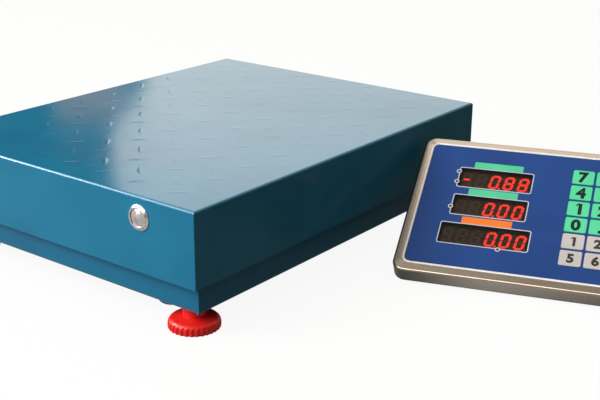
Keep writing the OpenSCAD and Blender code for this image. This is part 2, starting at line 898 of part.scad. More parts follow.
// Region under the front case's outer face, drawn in by the given amount, from the corners' centres outward
module case_region(inset, low) {
    side = case_corner - inset;
    edge_x = case_corner - case_edge_r;
    edge_z = case_d - case_edge_r;
    crest_x = case_corner - border + crest_w;
    polygon([
        [0, low], [side, low], [side, edge_z], [edge_x, edge_z], [edge_x, case_d - inset],
        [crest_x, case_d + crest_h - inset], [case_corner - border, plate_top - inset], [0, plate_top - inset]
    ]);
    translate([edge_x, edge_z]) circle(case_edge_r - inset);
}

module case_section() {
    difference() {
        case_region(0, seam);
        case_region(case_sheet, seam - 1);
    }
}

// Outlines of the panel's openings for windows and keys, made larger by the given amount
module window_outline(i, grow) {
    translate([border + window_x[i] + window_w[i] / 2, border + window_y[i] + window_h / 2])
        rounded_rect(window_w[i] + 2 * grow, window_h + 2 * grow, window_corner);
}

module key_outline(col, row, grow) {
    translate([
        border + key_x + col * key_pitch_x + key_w / 2,
        border + key_low + row * key_pitch_y + key_h / 2
    ])
        rounded_rect(key_w + 2 * grow, key_h + 2 * grow, window_corner);
}

module panel_openings() {
    for (i = [0:2])
        window_outline(i, 0);
    for (row = [0:len(key_rows) - 1], col = [0:key_cols - 1])
        key_outline(col, row, 0);
}

module indicator_front_case() {
    color("lightgray") at_indicator()
        difference() {
            union() {
                translate([case_w / 2, case_h / 2, 0]) swept_rim(case_w, case_h, case_corner) case_section();
                translate([case_corner, case_corner, plate_low])
                    cube([case_w - 2 * case_corner, case_h - 2 * case_corner, case_sheet]);
                for (place = post_places)
                    translate([place[0], place[1], case_sheet]) cylinder(r = post_r, h = plate_low + 0.7 - case_sheet);
                for (place = standoff_places)
                    translate([place[0], place[1], board_top]) cylinder(r = 2.5, h = plate_low + eps - board_top);
            }
            translate([0, 0, plate_low - 1]) linear_extrude(height = case_sheet + 2) panel_openings();
            for (place = post_places)
                translate([place[0], place[1], 0]) cylinder(r = screw_r + 0.05, h = 12);
            for (place = standoff_places)
                translate([place[0], place[1], board_low]) cylinder(r = screw_r + 0.05, h = 8);
        }
}

module back_section() {
    edge_x = case_corner - back_edge_r;
    square([edge_x, case_sheet]);
    intersection() {
        translate([edge_x, back_edge_r]) circle(back_edge_r);
        translate([edge_x, 0]) square(back_edge_r);
    }
    translate([case_corner - 2 * case_sheet - move_gap, case_sheet])
        square([case_sheet, back_rim_h - case_sheet]);
}

// Bent-out ear with the stand's hole and the tab that the open leg rests on
module stand_ear() {
    difference() {
        rotate([90, 0, 90])
            linear_extrude(height = ear_t) {
                translate([hinge_y, hinge_z]) circle(ear_r);
                translate([hinge_y - ear_r, hinge_z]) square([2 * ear_r, eps - hinge_z]);
                translate([hinge_y, hinge_z])
                    rotate(stand_angle - 90)
                        translate([rod_r + move_gap, -16]) square([4, 16]);
            }
        translate([-1, hinge_y, hinge_z]) rotate([0, 90, 0]) cylinder(r = rod_r + run_gap, h = ear_t + 2);
    }
    translate([0, hinge_y, hinge_z])
        rotate([stand_angle - 90, 0, 0])
            translate([-ear_gap - rod_r, rod_r + move_gap, -16]) cube([ear_gap + rod_r + ear_t, 2, 5]);
    translate([0, hinge_y - ear_r, -case_sheet]) cube([10, 2 * ear_r, case_sheet + eps]);
}

module indicator_back_cover() {
    color("gray") at_indicator()
        difference() {
            union() {
                translate([case_w / 2, case_h / 2, 0]) {
                    swept_rim(case_w, case_h, case_corner) back_section();
                    translate([0, 0, case_sheet / 2])
                        cube([case_w - 2 * case_corner, case_h - 2 * case_corner, case_sheet], center = true);
                }
                for (side = [-1, 1])
                    translate([case_w / 2, 0, 0]) scale([side, 1, 1]) translate([stand_w / 2 + ear_gap, 0, 0]) stand_ear();
            }
            for (place = post_places)
                translate([place[0], place[1], -1]) cylinder(r = screw_r + 0.2, h = case_sheet + 2);
            for (x = [foot_bar_in + foot_bar_w / 2, case_w - foot_bar_in - foot_bar_w / 2])
                translate([x, foot_bar_y + foot_bar_l / 2 + 8, -1]) cylinder(r = 2.5, h = case_sheet + 2);
            translate([jack_x, jack_y, -1]) cylinder(r = 4.4, h = case_sheet + 2);
        }
}

module keypad_panel() {
    color("royalblue") at_indicator()
        translate([0, 0, plate_top])
            linear_extrude(height = panel_t)
                difference() {
                    translate([case_w / 2, case_h / 2]) rounded_rect(panel_w - 0.2, panel_h - 0.2, panel_corner);
                    panel_openings();
                }
}

module keypad_key(col, row) {
    cap_low = plate_low - 0.2 - key_flange_t;
    color(row < 2 ? "lightgray" : "mediumseagreen") at_indicator() {
        translate([0, 0, cap_low])
            linear_extrude(height = panel_top + key_proud - cap_low) key_outline(col, row, -move_gap);
        translate([0, 0, cap_low])
            linear_extrude(height = key_flange_t) key_outline(col, row, key_flange);
        translate([
            border + key_x + col * key_pitch_x + key_w / 2,
            border + key_low + row * key_pitch_y + key_h / 2,
            switch_top + key_travel + 0.1
        ])
            cylinder(r = key_stem_r, h = cap_low + eps - switch_top - key_travel - 0.1);
    }
}

module display_windows() {
    color("saddlebrown") at_indicator()
        for (i = [0:2]) {
            translate([0, 0, plate_low - 1.2])
                linear_extrude(height = 1.2) window_outline(i, window_flange);
            translate([0, 0, plate_low - eps])
                linear_extrude(height = panel_top - move_gap - plate_low + eps) window_outline(i, -0.15);
        }
}

module led_displays() {
    color("maroon") at_indicator()
        for (i = [0:2])
            translate([0, 0, board_top])
                linear_extrude(height = display_h) window_outline(i, -2);
}

module indicator_board() {
    color("green") at_indicator() {
        difference() {
            translate([board_in, board_in, board_low])
                cube([case_w - 2 * board_in, case_h - 2 * board_in, board_t]);
            for (place = standoff_places)
                translate([place[0], place[1], board_low - 1]) cylinder(r = screw_r + 0.2, h = board_t + 2);
        }
        for (row = [0:len(key_rows) - 1], col = [0:key_cols - 1])
            translate([
                border + key_x + col * key_pitch_x + key_w / 2,
                border + key_low + row * key_pitch_y + key_h / 2,
                board_top
            ]) {
                translate([-switch_w / 2, -switch_w / 2, -eps]) cube([switch_w, switch_w, switch_h + eps]);
                cylinder(r = 1.75, h = switch_top - board_top);
            }
        translate([60, 120, board_low - 2]) cube([14, 14, 2 + eps]);
        translate([100, 125, board_low - 3]) cube([30, 18, 3 + eps]);
        translate([215, 150, board_low - 6]) cylinder(r = 6, h = 6 + eps);
        translate([jack_x - 5, jack_y - 6, 2]) cube([10, 12, board_low + eps - 2]);
        difference() {
            translate([jack_x, jack_y, 0]) cylinder(r = 4, h = 3);
            translate([jack_x, jack_y, -1]) cylinder(r = 2.7, h = 9);
        }
    }
}

module indicator_battery() {
    color("silver") at_indicator()
        translate([(case_w - cell_pack_w) / 2, 36, case_sheet])
            linear_extrude(height = cell_pack_h)
                translate([cell_pack_w / 2, cell_pack_l / 2]) rounded_rect(cell_pack_w, cell_pack_l, 2);
}

module rod_corner() {
    rotate_extrude(angle = 90) translate([rod_bend, 0]) circle(rod_r);
}

module indicator_stand() {
    color("silver") at_hinge() {
        for (side = [-1, 1]) scale([side, 1, 1]) {
            leg_x = stand_w / 2;
            translate([leg_x + rod_bend, 0, 0]) rotate([0, 90, 0]) cylinder(r = rod_r, h = stub_l - rod_bend);
            translate([leg_x + rod_bend, -rod_bend, 0]) rotate([0, 0, 90]) rod_corner();
            translate([leg_x, -rod_bend, 0])
                rotate([90, 0, 0]) cylinder(r = rod_r, h = leg_l - 2 * rod_bend);
            translate([leg_x - rod_bend, rod_bend - leg_l, 0]) rotate([0, 0, -90]) rod_corner();
        }
        translate([rod_bend - stand_w / 2, -leg_l, 0])
            rotate([0, 90, 0]) cylinder(r = rod_r, h = stand_w - 2 * rod_bend);
    }
}

module stand_sleeves() {
    color("dimgray") at_hinge()
        for (side = [-1, 1])
            translate([side * (stand_w / 2 - rod_bend - sleeve_l / 2 - 4), -leg_l, 0])
                rotate([0, 90, 0])
                    difference() {
                        cylinder(r = rod_r + sleeve_t, h = sleeve_l, center = true);
                        cylinder(r = rod_r + 0.02, h = sleeve_l + 1, center = true);
                    }
}

// Wedge whose sole lies on the floor, with a stem through the back cover
module indicator_foot() {
    drop = tan(tilt);
    far = foot_bar_y + foot_bar_l;
    rotate([90, 0, 90])
        linear_extrude(height = foot_bar_w, center = true)
            polygon([[foot_bar_y, 0], [far + 5, 0], [far, -far * drop], [foot_bar_y, -foot_bar_y * drop]]);
    translate([0, foot_bar_y + foot_bar_l / 2 + 8, -1]) cylinder(r = 2.4, h = case_sheet + 1.2);
    translate([0, foot_bar_y + foot_bar_l / 2 + 8, case_sheet]) cylinder(r1 = 3.6, r2 = 2.4, h = 1.6);
}

module indicator_feet() {
    color("dimgray") at_indicator()
        for (x = [foot_bar_in + foot_bar_w / 2, case_w - foot_bar_in - foot_bar_w / 2])
            translate([x, 0, 0]) indicator_foot();
}

// Pan-head screw whose head lies below Z = 0 and whose shank points up
module pan_screw(length) {
    cylinder(r = screw_r, h = length);
    translate([0, 0, -screw_head_h]) cylinder(r1 = screw_head_r - 0.8, r2 = screw_head_r, h = screw_head_h);
}

module indicator_screws() {
    color("gainsboro") at_indicator() {
        for (place = post_places)
            translate([place[0], place[1], 0]) pan_screw(11);
        for (place = standoff_places)
            translate([place[0], place[1], board_low]) pan_screw(7);
    }
}

base_frame();
for (i = [0:3]) {
    foot_stud(i);
    foot_knob(i);
}
foot_thread_nuts();
top_cover();
load_spider();
support_pads();
load_cell();
load_cell_bolts();
overload_stops();
power_button_bezel();
power_button_cap();
power_button_nut();
transmitter_box();
transmitter_lid();
transmitter_board();
platform_battery();
base_leads();
button_lead();
indicator_front_case();
indicator_back_cover();
keypad_panel();
for (row = [0:len(key_rows) - 1], col = [0:key_cols - 1])
    keypad_key(col, row);
display_windows();
led_displays();
indicator_board();
indicator_battery();
indicator_stand();
stand_sleeves();
indicator_feet();
indicator_screws();
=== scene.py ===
# %% [markdown]
# # A platform scale with a separate indicator
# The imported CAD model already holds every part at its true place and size.
# This lesson gives the parts their finishes, adds the small things that the CAD leaves out,
# such as threads, digits and printed marks, and sets up the camera and the studio.

# %% Load the frame
import json
import math

import bmesh
import bpy
from mathutils import Matrix, Vector


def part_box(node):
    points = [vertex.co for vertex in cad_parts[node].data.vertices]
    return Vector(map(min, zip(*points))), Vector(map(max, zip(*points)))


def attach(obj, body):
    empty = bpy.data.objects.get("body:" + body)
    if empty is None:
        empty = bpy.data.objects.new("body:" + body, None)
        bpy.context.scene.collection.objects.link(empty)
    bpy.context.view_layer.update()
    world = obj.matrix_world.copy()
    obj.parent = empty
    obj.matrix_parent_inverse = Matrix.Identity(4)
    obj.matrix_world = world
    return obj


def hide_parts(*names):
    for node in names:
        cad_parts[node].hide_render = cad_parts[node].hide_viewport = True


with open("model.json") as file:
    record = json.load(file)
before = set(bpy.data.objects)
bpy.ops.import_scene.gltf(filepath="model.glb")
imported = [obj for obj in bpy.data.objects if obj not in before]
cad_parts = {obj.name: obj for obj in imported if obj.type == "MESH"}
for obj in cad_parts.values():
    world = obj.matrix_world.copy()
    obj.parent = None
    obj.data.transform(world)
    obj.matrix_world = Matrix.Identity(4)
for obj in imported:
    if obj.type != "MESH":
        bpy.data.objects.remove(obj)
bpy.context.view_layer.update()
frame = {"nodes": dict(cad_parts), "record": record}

# %% [markdown]
# ## The camera
# The photograph was taken with a longish lens from the right front, a little above the deck.
# The place, turn and lens below were fitted to the corners of the cover and of the panel.

# %% Camera
MM = 0.001
CAMERA_PLACE = Vector((686.5, -941.2, 480.7)) * MM
CAMERA_TURN = math.radians(37.66)
CAMERA_DOWN = math.radians(19.52)
CAMERA_ROLL = math.radians(0.36)
LENS_MM = 67.83
SENSOR_MM = 36


def aim(place, turn, down, roll):
    """A matrix that looks from a place: turned from +Y to the left, tipped down, then rolled."""
    heading = Matrix.Rotation(turn, 4, "Z")
    pitch = Matrix.Rotation(math.pi / 2 - down, 4, "X")
    return Matrix.Translation(place) @ heading @ pitch @ Matrix.Rotation(roll, 4, "Z")


def add_camera():
    """The one camera, with its depth of field left off."""
    data = bpy.data.cameras.new("studio_camera")
    data.sensor_width = SENSOR_MM
    data.lens = LENS_MM
    camera = bpy.data.objects.new("studio_camera", data)
    camera.matrix_world = aim(CAMERA_PLACE, CAMERA_TURN, CAMERA_DOWN, CAMERA_ROLL)
    bpy.context.scene.collection.objects.link(camera)
    bpy.context.scene.camera = camera


add_camera()
bpy.context.scene.view_settings.view_transform = "Standard"
print("camera", round(math.degrees(CAMERA_DOWN), 1), "degrees down, lens", LENS_MM, "mm")

# %% [markdown]
# ## Shader maths
# A finish is a small network of nodes. To keep it readable, a wire wraps one socket,
# and Python's own signs on wires add the Math nodes. One method adds every other node.


# %% Wires and finishes
class Wire:
    """One output socket of a finish. Python's signs on it add Math nodes."""

    def __init__(self, finish, socket):
        self.finish = finish
        self.socket = socket

    def __add__(self, other):
        return self.finish.maths("ADD", self, other)

    def __radd__(self, other):
        return self.finish.maths("ADD", other, self)

    def __sub__(self, other):
        return self.finish.maths("SUBTRACT", self, other)

    def __rsub__(self, other):
        return self.finish.maths("SUBTRACT", other, self)

    def __mul__(self, other):
        return self.finish.maths("MULTIPLY", self, other)

    def __rmul__(self, other):
        return self.finish.maths("MULTIPLY", other, self)

    def between(self, low, high):
        """0 up to low, 1 from high, and a smooth slope between them."""
        settings = {"interpolation_type": "SMOOTHSTEP"}
        sockets = {"Value": self, "From Min": low, "From Max": high}
        return self.finish.add("ShaderNodeMapRange", settings, sockets)

    def band(self, rise, fall):
        """1 between two slopes: up over the rise, and down again over the fall."""
        return self.between(*rise) * (1 - self.between(*fall))


def srgb(red, green, blue):
    """A screen colour, 0 to 255, as the linear colour that a shader takes."""
    shares = [value / 255 for value in (red, green, blue)]
    linear = [s / 12.92 if s <= 0.04045 else ((s + 0.055) / 1.055) ** 2.4 for s in shares]
    return (*linear, 1)


class Finish:
    """A material and the short methods that build its node tree."""

    def __init__(self, name, holder=None):
        self.material = holder or bpy.data.materials.new(name)
        self.material.use_nodes = True
        self.tree = self.material.node_tree
        self.tree.nodes.clear()

    def add(self, kind, settings=None, sockets=None, output=0):
        """Adds a node, its settings first, then its socket values or links."""
        node = self.tree.nodes.new(kind)
        for name, value in (settings or {}).items():
            setattr(node, name, value)
        for name, value in (sockets or {}).items():
            self.feed(node.inputs[name], value)
        return Wire(self, node.outputs[output])

    def feed(self, socket, value):
        """Links a wire to a socket, or sets the socket's own value."""
        if isinstance(value, Wire):
            self.tree.links.new(value.socket, socket)
        else:
            socket.default_value = value

    def place(self, stretch=(1, 1, 1), turn=(0, 0, 0)):
        """The object's own coordinates in metres, turned and stretched."""
        spot = self.add("ShaderNodeTexCoord", output="Object")
        turned = self.add("ShaderNodeMapping", None, {"Vector": spot, "Rotation": turn})
        return self.add("ShaderNodeMapping", None, {"Vector": turned, "Scale": stretch})

    def noise(self, grain, detail=2, stretch=(1, 1, 1), turn=(0, 0, 0)):
        """Noise whose patches are about one grain wide, in metres."""
        sockets = {"Vector": self.place(stretch, turn), "Scale": 1 / grain, "Detail": detail}
        return self.add("ShaderNodeTexNoise", None, sockets)

    def maths(self, operation, *values):
        """A Math node on these values, in their order."""
        return self.add("ShaderNodeMath", {"operation": operation}, dict(enumerate(values)))

    def parts(self, vector):
        """The three numbers of a vector."""
        node = self.add("ShaderNodeSeparateXYZ", None, {"Vector": vector}).socket.node
        return [Wire(self, output) for output in node.outputs]

    def mix(self, share, first, second):
        """A colour between two colours."""
        settings = {"data_type": "RGBA", "clamp_factor": True}
        return self.add("ShaderNodeMix", settings, {0: share, 6: first, 7: second}, output=2)

    def bump(self, height, depth, strength=1.0):
        """A normal from a height of 0 to 1 that stands for a depth in metres."""
        sockets = {"Height": height, "Distance": depth, "Strength": strength}
        return self.add("ShaderNodeBump", None, sockets)

    def surface(self, **sockets):
        """The shader, with its sockets given by their names in lower case, and the output."""
        named = {}
        for name, value in sockets.items():
            named[name.replace("_", " ").title().replace("Ior", "IOR")] = value
        shader = self.add("ShaderNodeBsdfPrincipled", None, named)
        self.add_output(shader)
        return self.material

    def add_output(self, shader):
        """The output node of a material or of the world."""
        kind = "ShaderNodeOutputMaterial"
        if isinstance(self.material, bpy.types.World):
            kind = "ShaderNodeOutputWorld"
        node = self.tree.nodes.new(kind)
        self.tree.links.new(shader.socket, node.inputs["Surface"])


print("finish helpers ready")

# %% [markdown]
# ## The studio
# The photograph's deck mirrors a pale backdrop on the right and a dark room on the left,
# the front is lit from the left, and the right side is nearly dark.
# The world's brightness depends on the direction, so gloss paint and steel have
# something to mirror. The camera itself sees only a plain pale floor.

# %% World and floor
DEGREE = math.radians(1)
BACKDROP_LEFT = 135.6 * DEGREE
BACKDROP_RIGHT = 58 * DEGREE
EDGE_SOFT = 0.6 * DEGREE
EDGE_FADE = 9.6 * DEGREE
LEAN_SPAN = (0.232, 0.28)
LEAN = 1.9 * DEGREE
RETURN_SPAN = (0.315, 0.33)
RETURN = 0.3 * DEGREE
WALL_TOP = (0.8, 0.95)
CEILING_SPAN = (0.6, 0.95)
ZENITH_SPAN = (0.8, 0.93)
FRONT_SPAN = (-0.1, 0.7)
FOR_LIGHT = {"room": 0.05, "wall": 0.6, "ceiling": 0.9, "front": 0.5}
FOR_GLOSS = {"room": 0.03, "wall": 1.5, "ceiling": 1.3, "front": 0.35}
WALL_COLOUR = srgb(255, 247, 236)
WARM_SIDE = srgb(255, 236, 206)
GLINTS = (((-0.8, -0.3, 0.5), 26), ((0.1, -0.75, 0.65), 4), ((-0.72, 0.03, 0.7), 4))
GLINT_SPAN = (0.95, 0.99)
HAZE = srgb(255, 190, 140)
HAZE_RISE = (136 * DEGREE, 138 * DEGREE)
HAZE_FALL = (139.6 * DEGREE, 141 * DEGREE)
HAZE_LOW = (0.1, 0.2)
HAZE_TOP = (0.25, 0.272)
HAZE_FOR_GLOSS = 0.55
FLOOR_SIZE = 14
FLOOR_COLOUR = srgb(254, 254, 254)
FLOOR_COLOUR_FOR_LIGHT = srgb(112, 112, 110)
FLOOR_COLOUR_FOR_GLOSS = srgb(190, 186, 180)
FLOOR_RIGHT_FOR_GLOSS = srgb(104, 98, 92)
DARK_SIDE = (0.04, 0.16)
DARK_DEPTH = (-0.02, 0.1)
GLOW_FOR_CAMERA = 0.93
GLOW_FOR_GLOSS = 0.6


def brightness(levels, wall, ceiling, front):
    """The light from one direction, summed from the parts of the room that lie there."""
    return levels["room"] + levels["wall"] * wall + levels["ceiling"] * ceiling + levels["front"] * front


def studio_world():
    """Brightness by direction: backdrop behind, soft ceiling, lit front left, dark elsewhere."""
    world = bpy.context.scene.world or bpy.data.worlds.new("studio")
    bpy.context.scene.world = world
    finish = Finish("studio", world)
    direction = finish.add("ShaderNodeTexCoord", output="Generated")
    x, y, z = finish.parts(direction)
    heading = finish.maths("ARCTAN2", y, x)
    from_edge = heading - (z.between(*LEAN_SPAN) * LEAN - z.between(*RETURN_SPAN) * RETURN) - BACKDROP_LEFT
    right = heading.between(BACKDROP_RIGHT - EDGE_FADE, BACKDROP_RIGHT)
    backdrop = right * (1 - from_edge.between(-EDGE_SOFT, EDGE_SOFT))
    wall = backdrop * (1 - z.between(*WALL_TOP))
    ceiling = z.between(*CEILING_SPAN)
    front_left = (0 - x * 0.6 - y * 0.8).between(*FRONT_SPAN)
    lit = brightness(FOR_LIGHT, wall, ceiling, front_left)
    dimmed = ceiling * (1 - 0.8 * z.between(*ZENITH_SPAN))
    haze = heading.band(HAZE_RISE, HAZE_FALL) * z.band(HAZE_LOW, HAZE_TOP) * (1 - backdrop)
    mirrored = brightness(FOR_GLOSS, wall, dimmed, front_left) + HAZE_FOR_GLOSS * haze
    for towards, power in GLINTS:
        unit = Vector(towards).normalized()
        near = x * unit.x + y * unit.y + z * unit.z
        mirrored = mirrored + near.between(*GLINT_SPAN) * power
    seen = finish.add("ShaderNodeLightPath", output="Is Camera Ray")
    glossy = finish.add("ShaderNodeLightPath", output="Is Glossy Ray")
    level = lit + (mirrored - lit) * glossy
    strength = seen + (1 - seen) * level
    tint = finish.mix(x.between(0, 0.5), WALL_COLOUR, WARM_SIDE)
    tint = finish.mix(haze, tint, HAZE)
    colour = finish.mix(seen, tint, srgb(255, 255, 255))
    light = finish.add("ShaderNodeBackground", None, {"Color": colour, "Strength": strength})
    finish.add_output(light)


def studio_floor():
    """A large pale floor that partly glows, so that the camera sees it nearly white. In reflections it glows
    too, a painted reflection, and glows darker in a patch to the right.
    """
    mesh = bpy.data.meshes.new("floor")
    shape = bmesh.new()
    bmesh.ops.create_grid(shape, x_segments=1, y_segments=1, size=FLOOR_SIZE / 2)
    shape.to_mesh(mesh)
    shape.free()
    floor = bpy.data.objects.new("floor", mesh)
    bpy.context.scene.collection.objects.link(floor)
    finish = Finish("pale_floor")
    seen = finish.add("ShaderNodeLightPath", output="Is Camera Ray")
    mirrored = finish.add("ShaderNodeLightPath", output="Is Glossy Ray")
    x, y, z = finish.parts(finish.add("ShaderNodeTexCoord", output="Object"))
    # For gloss rays the floor glows and so mirrors bright even where it lies in shadow: a painted reflection.
    # The patch right of the platform glows darker: a painted dark reflection on the platform's right side.
    # For bounce light the floor is a mid grey, which keeps the right side in shade.
    dark = x.between(*DARK_SIDE) * y.between(*DARK_DEPTH)
    mirror = finish.mix(dark, FLOOR_COLOUR_FOR_GLOSS, FLOOR_RIGHT_FOR_GLOSS)
    colour = finish.mix(mirrored, FLOOR_COLOUR_FOR_LIGHT, mirror)
    colour = finish.mix(seen, colour, FLOOR_COLOUR)
    matt = finish.add("ShaderNodeBsdfDiffuse", None, {"Color": colour})
    glow = finish.add("ShaderNodeEmission", None, {"Color": colour, "Strength": 1.0})
    share = seen * GLOW_FOR_CAMERA + mirrored * GLOW_FOR_GLOSS
    both = finish.add("ShaderNodeMixShader", None, {0: share, 1: matt, 2: glow})
    finish.add_output(both)
    mesh.materials.append(finish.material)


studio_world()
studio_floor()
print("floor", FLOOR_SIZE, "m wide")

# %% [markdown]
# ## Lamps
# The photo's front is bright and its right side is dark, so one large square lamp stands
# high at the front left. A large lamp gives soft shadows. The world gives the rest of the light.

# %% Lamps
KEY_PLACE = Vector((-1.3, -2.2, 1.7))
KEY_SIZE = 1.5
KEY_POWER = 80
AIM_POINT = Vector((0, 0, 0.08))


def add_lamp(name, place, size, power):
    """A square soft lamp that faces the object."""
    data = bpy.data.lights.new(name, "AREA")
    data.shape = "SQUARE"
    data.size = size
    data.energy = power
    lamp = bpy.data.objects.new(name, data)
    turn = (AIM_POINT - place).to_track_quat("-Z", "Y").to_matrix().to_4x4()
    lamp.matrix_world = Matrix.Translation(place) @ turn
    bpy.context.scene.collection.objects.link(lamp)


add_lamp("key_lamp", KEY_PLACE, KEY_SIZE, KEY_POWER)
print("key lamp", KEY_POWER, "W")

# %% [markdown]
# ## The indicator's own axes
# The indicator leans back and is turned on the floor. Its small parts are easiest to draw
# flat, in millimetres from the case's lower left corner, and one matrix then puts them in place.

# %% Indicator axes
CASE_CORNER = Vector((88.879, -6, 0)) * MM
YAW = math.radians(19.3)
TILT = math.radians(31.4)
BORDER = 11.8
PANEL_TOP = 21.5
case_turn = Matrix.Rotation(YAW, 4, "Z") @ Matrix.Rotation(TILT, 4, "X")
case_place = Matrix.Translation(CASE_CORNER) @ case_turn @ Matrix.Scale(MM, 4)
panel_place = case_place @ Matrix.Translation((BORDER, BORDER, PANEL_TOP))
flat_turn = case_turn.inverted().to_euler()
print("panel faces", tuple(round(value, 3) for value in case_turn.col[2][:3]))

# %% [markdown]
# ## Blue enamel
# The cover and frame are sprayed sheet steel. Enamel is glossy, with the faint
# waviness called orange peel, and a hint of unevenness in the sheet itself.


# %% Enamel
WEAR_SPAN = (-0.2, 0.25)
REAR_WEAR = 0.5
SIDE_WEAR = 0.75
SIDE_EDGE = 0.0006
RIGHT_SIDE_PAINTED_SHADE = srgb(30, 36, 44)
ENAMEL_IOR = 1.22


def enamel(name, colour, deep, peel=0.9, side_x=1.0):
    """Gloss paint with orange peel. Its shine wears to the rear and on the right side, past side_x, where its
    colour is also darkened as painted shade.
    """
    finish = Finish(name)
    cloud = finish.noise(0.09, 3)
    speck = finish.noise(0.0016, 1)
    shade = finish.mix(cloud.between(0.35, 0.7), colour, deep)
    waves = finish.noise(0.0035, 2)
    sheet = finish.noise(0.12, 1)
    scuff = finish.noise(0.03, 5).between(0.55, 0.75)
    x, y, z = finish.parts(finish.place())
    side = x.between(side_x, side_x + SIDE_EDGE)
    worn = finish.maths("MAXIMUM", y.between(*WEAR_SPAN) * REAR_WEAR, side * SIDE_WEAR)
    # Past side_x the colour is drawn a third of the way to a dark grey-blue: painted shade on the right side.
    shade = finish.mix(side * 0.3, shade, RIGHT_SIDE_PAINTED_SHADE)
    normal = finish.bump(waves * 0.7 + speck * 0.3, 0.00004 * peel)
    swell = finish.bump(sheet, 0.0008)
    finish.feed(normal.socket.node.inputs["Normal"], swell)
    return finish.surface(
        base_color=shade,
        roughness=0.13 + scuff * 0.08 + speck * 0.04 + side * 0.35,
        ior=ENAMEL_IOR,
        coat_weight=1 - worn,
        coat_roughness=0.06,
        coat_ior=ENAMEL_IOR,
        normal=normal,
    )


# %% [markdown]
# ## Metals
# Drawn sheet steel on the indicator has fine lines along its length. Turned steel on the
# button shows rings. Zinc plate is pale grey with soft cloudy crystals.


# %% Metals
FACE_EDGE = (0.0362, 0.0376)
SIDE_SPAN = (0.08, 0.2)
RING_FREQUENCY = 9000


def drawn_steel(name, colour, bright, side_colour, metal=1.0, streaks=0.5, rough=0.2):
    """Steel with fine brush lines along the case's width. Its side walls are smoother, and darker towards the
    left as painted shade and reflection.
    """
    finish = Finish(name)
    line = finish.noise(0.02, 4, (1, 60, 60), flat_turn)
    cloud = finish.noise(0.05, 2)
    along, across, out = finish.parts(finish.place((1, 1, 1), flat_turn))
    front = out.between(*FACE_EDGE)
    # On the side walls the colour runs from side_colour at the left to bright at the right: painted shade and
    # reflection, darkest at the left.
    side = finish.mix(along.between(*SIDE_SPAN), side_colour, bright)
    shade = finish.mix(front, side, finish.mix(line.between(0.4, 0.8) * streaks, colour, bright))
    return finish.surface(
        base_color=shade,
        metallic=metal,
        roughness=rough + line * 0.06 + cloud * 0.06,
        normal=finish.bump(line * streaks, 0.00001),
    )


def turned_steel(name, centre):
    """Bright steel with fine rings about the button's axis, and lighter slanted streaks in its colour that
    are a painted sheen.
    """
    finish = Finish(name)
    spot = finish.add("ShaderNodeTexCoord", output="Object")
    from_axis = finish.add("ShaderNodeVectorMath", {"operation": "SUBTRACT"}, {0: spot, 1: centre})
    x, y, z = finish.parts(from_axis)
    radius = finish.maths("SQRT", x * x + z * z)
    ring = finish.maths("SINE", radius * RING_FREQUENCY)
    dust = finish.noise(0.004, 3)
    # Slanted lighter streaks in the colour: a painted sheen standing in for the spun metal's reflections.
    sheen_streak = finish.noise(0.0012, 2, (1, 1, 0.2), (0, math.radians(35), 0)).between(0.35, 0.65)
    return finish.surface(
        base_color=finish.mix(sheen_streak, srgb(196, 194, 196), srgb(236, 236, 238)),
        metallic=1.0,
        roughness=0.22 + dust * 0.16,
        normal=finish.bump(ring * 0.5 + 0.5, 0.00003),
    )


def zinc_plate(name):
    """Zinc plated steel, cloudy and a little blue."""
    finish = Finish(name)
    cloud = finish.noise(0.006, 4)
    grain = finish.noise(0.0008, 2)
    return finish.surface(
        base_color=finish.mix(cloud.between(0.3, 0.7), srgb(176, 180, 184), srgb(206, 206, 200)),
        metallic=1.0,
        roughness=0.3 + cloud * 0.15,
        normal=finish.bump(grain, 0.00003),
    )


def milled_alloy(name):
    """The load cell's milled aluminium, with tool lines across it."""
    finish = Finish(name)
    line = finish.noise(0.004, 3, (8, 1, 1))
    cloud = finish.noise(0.03, 2)
    return finish.surface(
        base_color=finish.mix(cloud, srgb(196, 198, 200), srgb(216, 217, 218)),
        metallic=1.0,
        roughness=0.3 + line * 0.15,
        normal=finish.bump(line, 0.00004),
    )


# %% [markdown]
# ## Plastics, rubber and film
# Moulded parts get their grain from the mould. The keypad is a printed film
# with a fine velvet texture, so it mirrors nothing sharply.


# %% Plastics
TRACK_FREQUENCIES = (1200, 900)


def moulded(name, colour, worn, grain=0.0009, gloss=0.35, depth=0.00003):
    """Moulded plastic or rubber: fine mould grain and small changes of shade."""
    finish = Finish(name)
    cloud = finish.noise(0.02, 3)
    texture = finish.noise(grain, 2)
    return finish.surface(
        base_color=finish.mix(cloud.between(0.35, 0.75), colour, worn),
        roughness=gloss + cloud * 0.1 + texture * 0.06,
        normal=finish.bump(texture, depth),
    )


def printed_film(name, colour, deep):
    """Screen printed film with a fine velvet grain."""
    finish = Finish(name)
    velvet = finish.noise(0.0006, 1)
    cloud = finish.noise(0.05, 2)
    return finish.surface(
        base_color=finish.mix(cloud.between(0.3, 0.7), colour, deep),
        roughness=0.42 + velvet * 0.1,
        ior=1.3,
        normal=finish.bump(velvet, 0.00002),
    )


def smoked(name):
    """Smoked lens in front of the digits: dark, clear and glossy."""
    finish = Finish(name)
    dust = finish.noise(0.01, 4).between(0.45, 0.9)
    return finish.surface(
        base_color=finish.mix(dust, srgb(30, 22, 16), srgb(58, 46, 36)),
        roughness=0.12 + dust * 0.12,
        alpha=0.3 + dust * 0.1,
        coat_weight=0.3,
    )


def laminate(name):
    """A circuit board: green lacquer over copper lines."""
    finish = Finish(name)
    x, y, z = finish.parts(finish.place((1, 1, 1), flat_turn))
    across = finish.maths("SINE", x * TRACK_FREQUENCIES[0])
    along = finish.maths("SINE", y * TRACK_FREQUENCIES[1])
    track = finish.maths("MAXIMUM", across, along).between(0.75, 0.9)
    return finish.surface(
        base_color=finish.mix(track, srgb(16, 84, 52), srgb(40, 128, 78)),
        roughness=0.3 + track * 0.1,
        normal=finish.bump(track, 0.00004),
    )


# %% [markdown]
# ## Finishes by slot
# The record gives every part a material slot, so one table of finishes dresses the CAD parts.

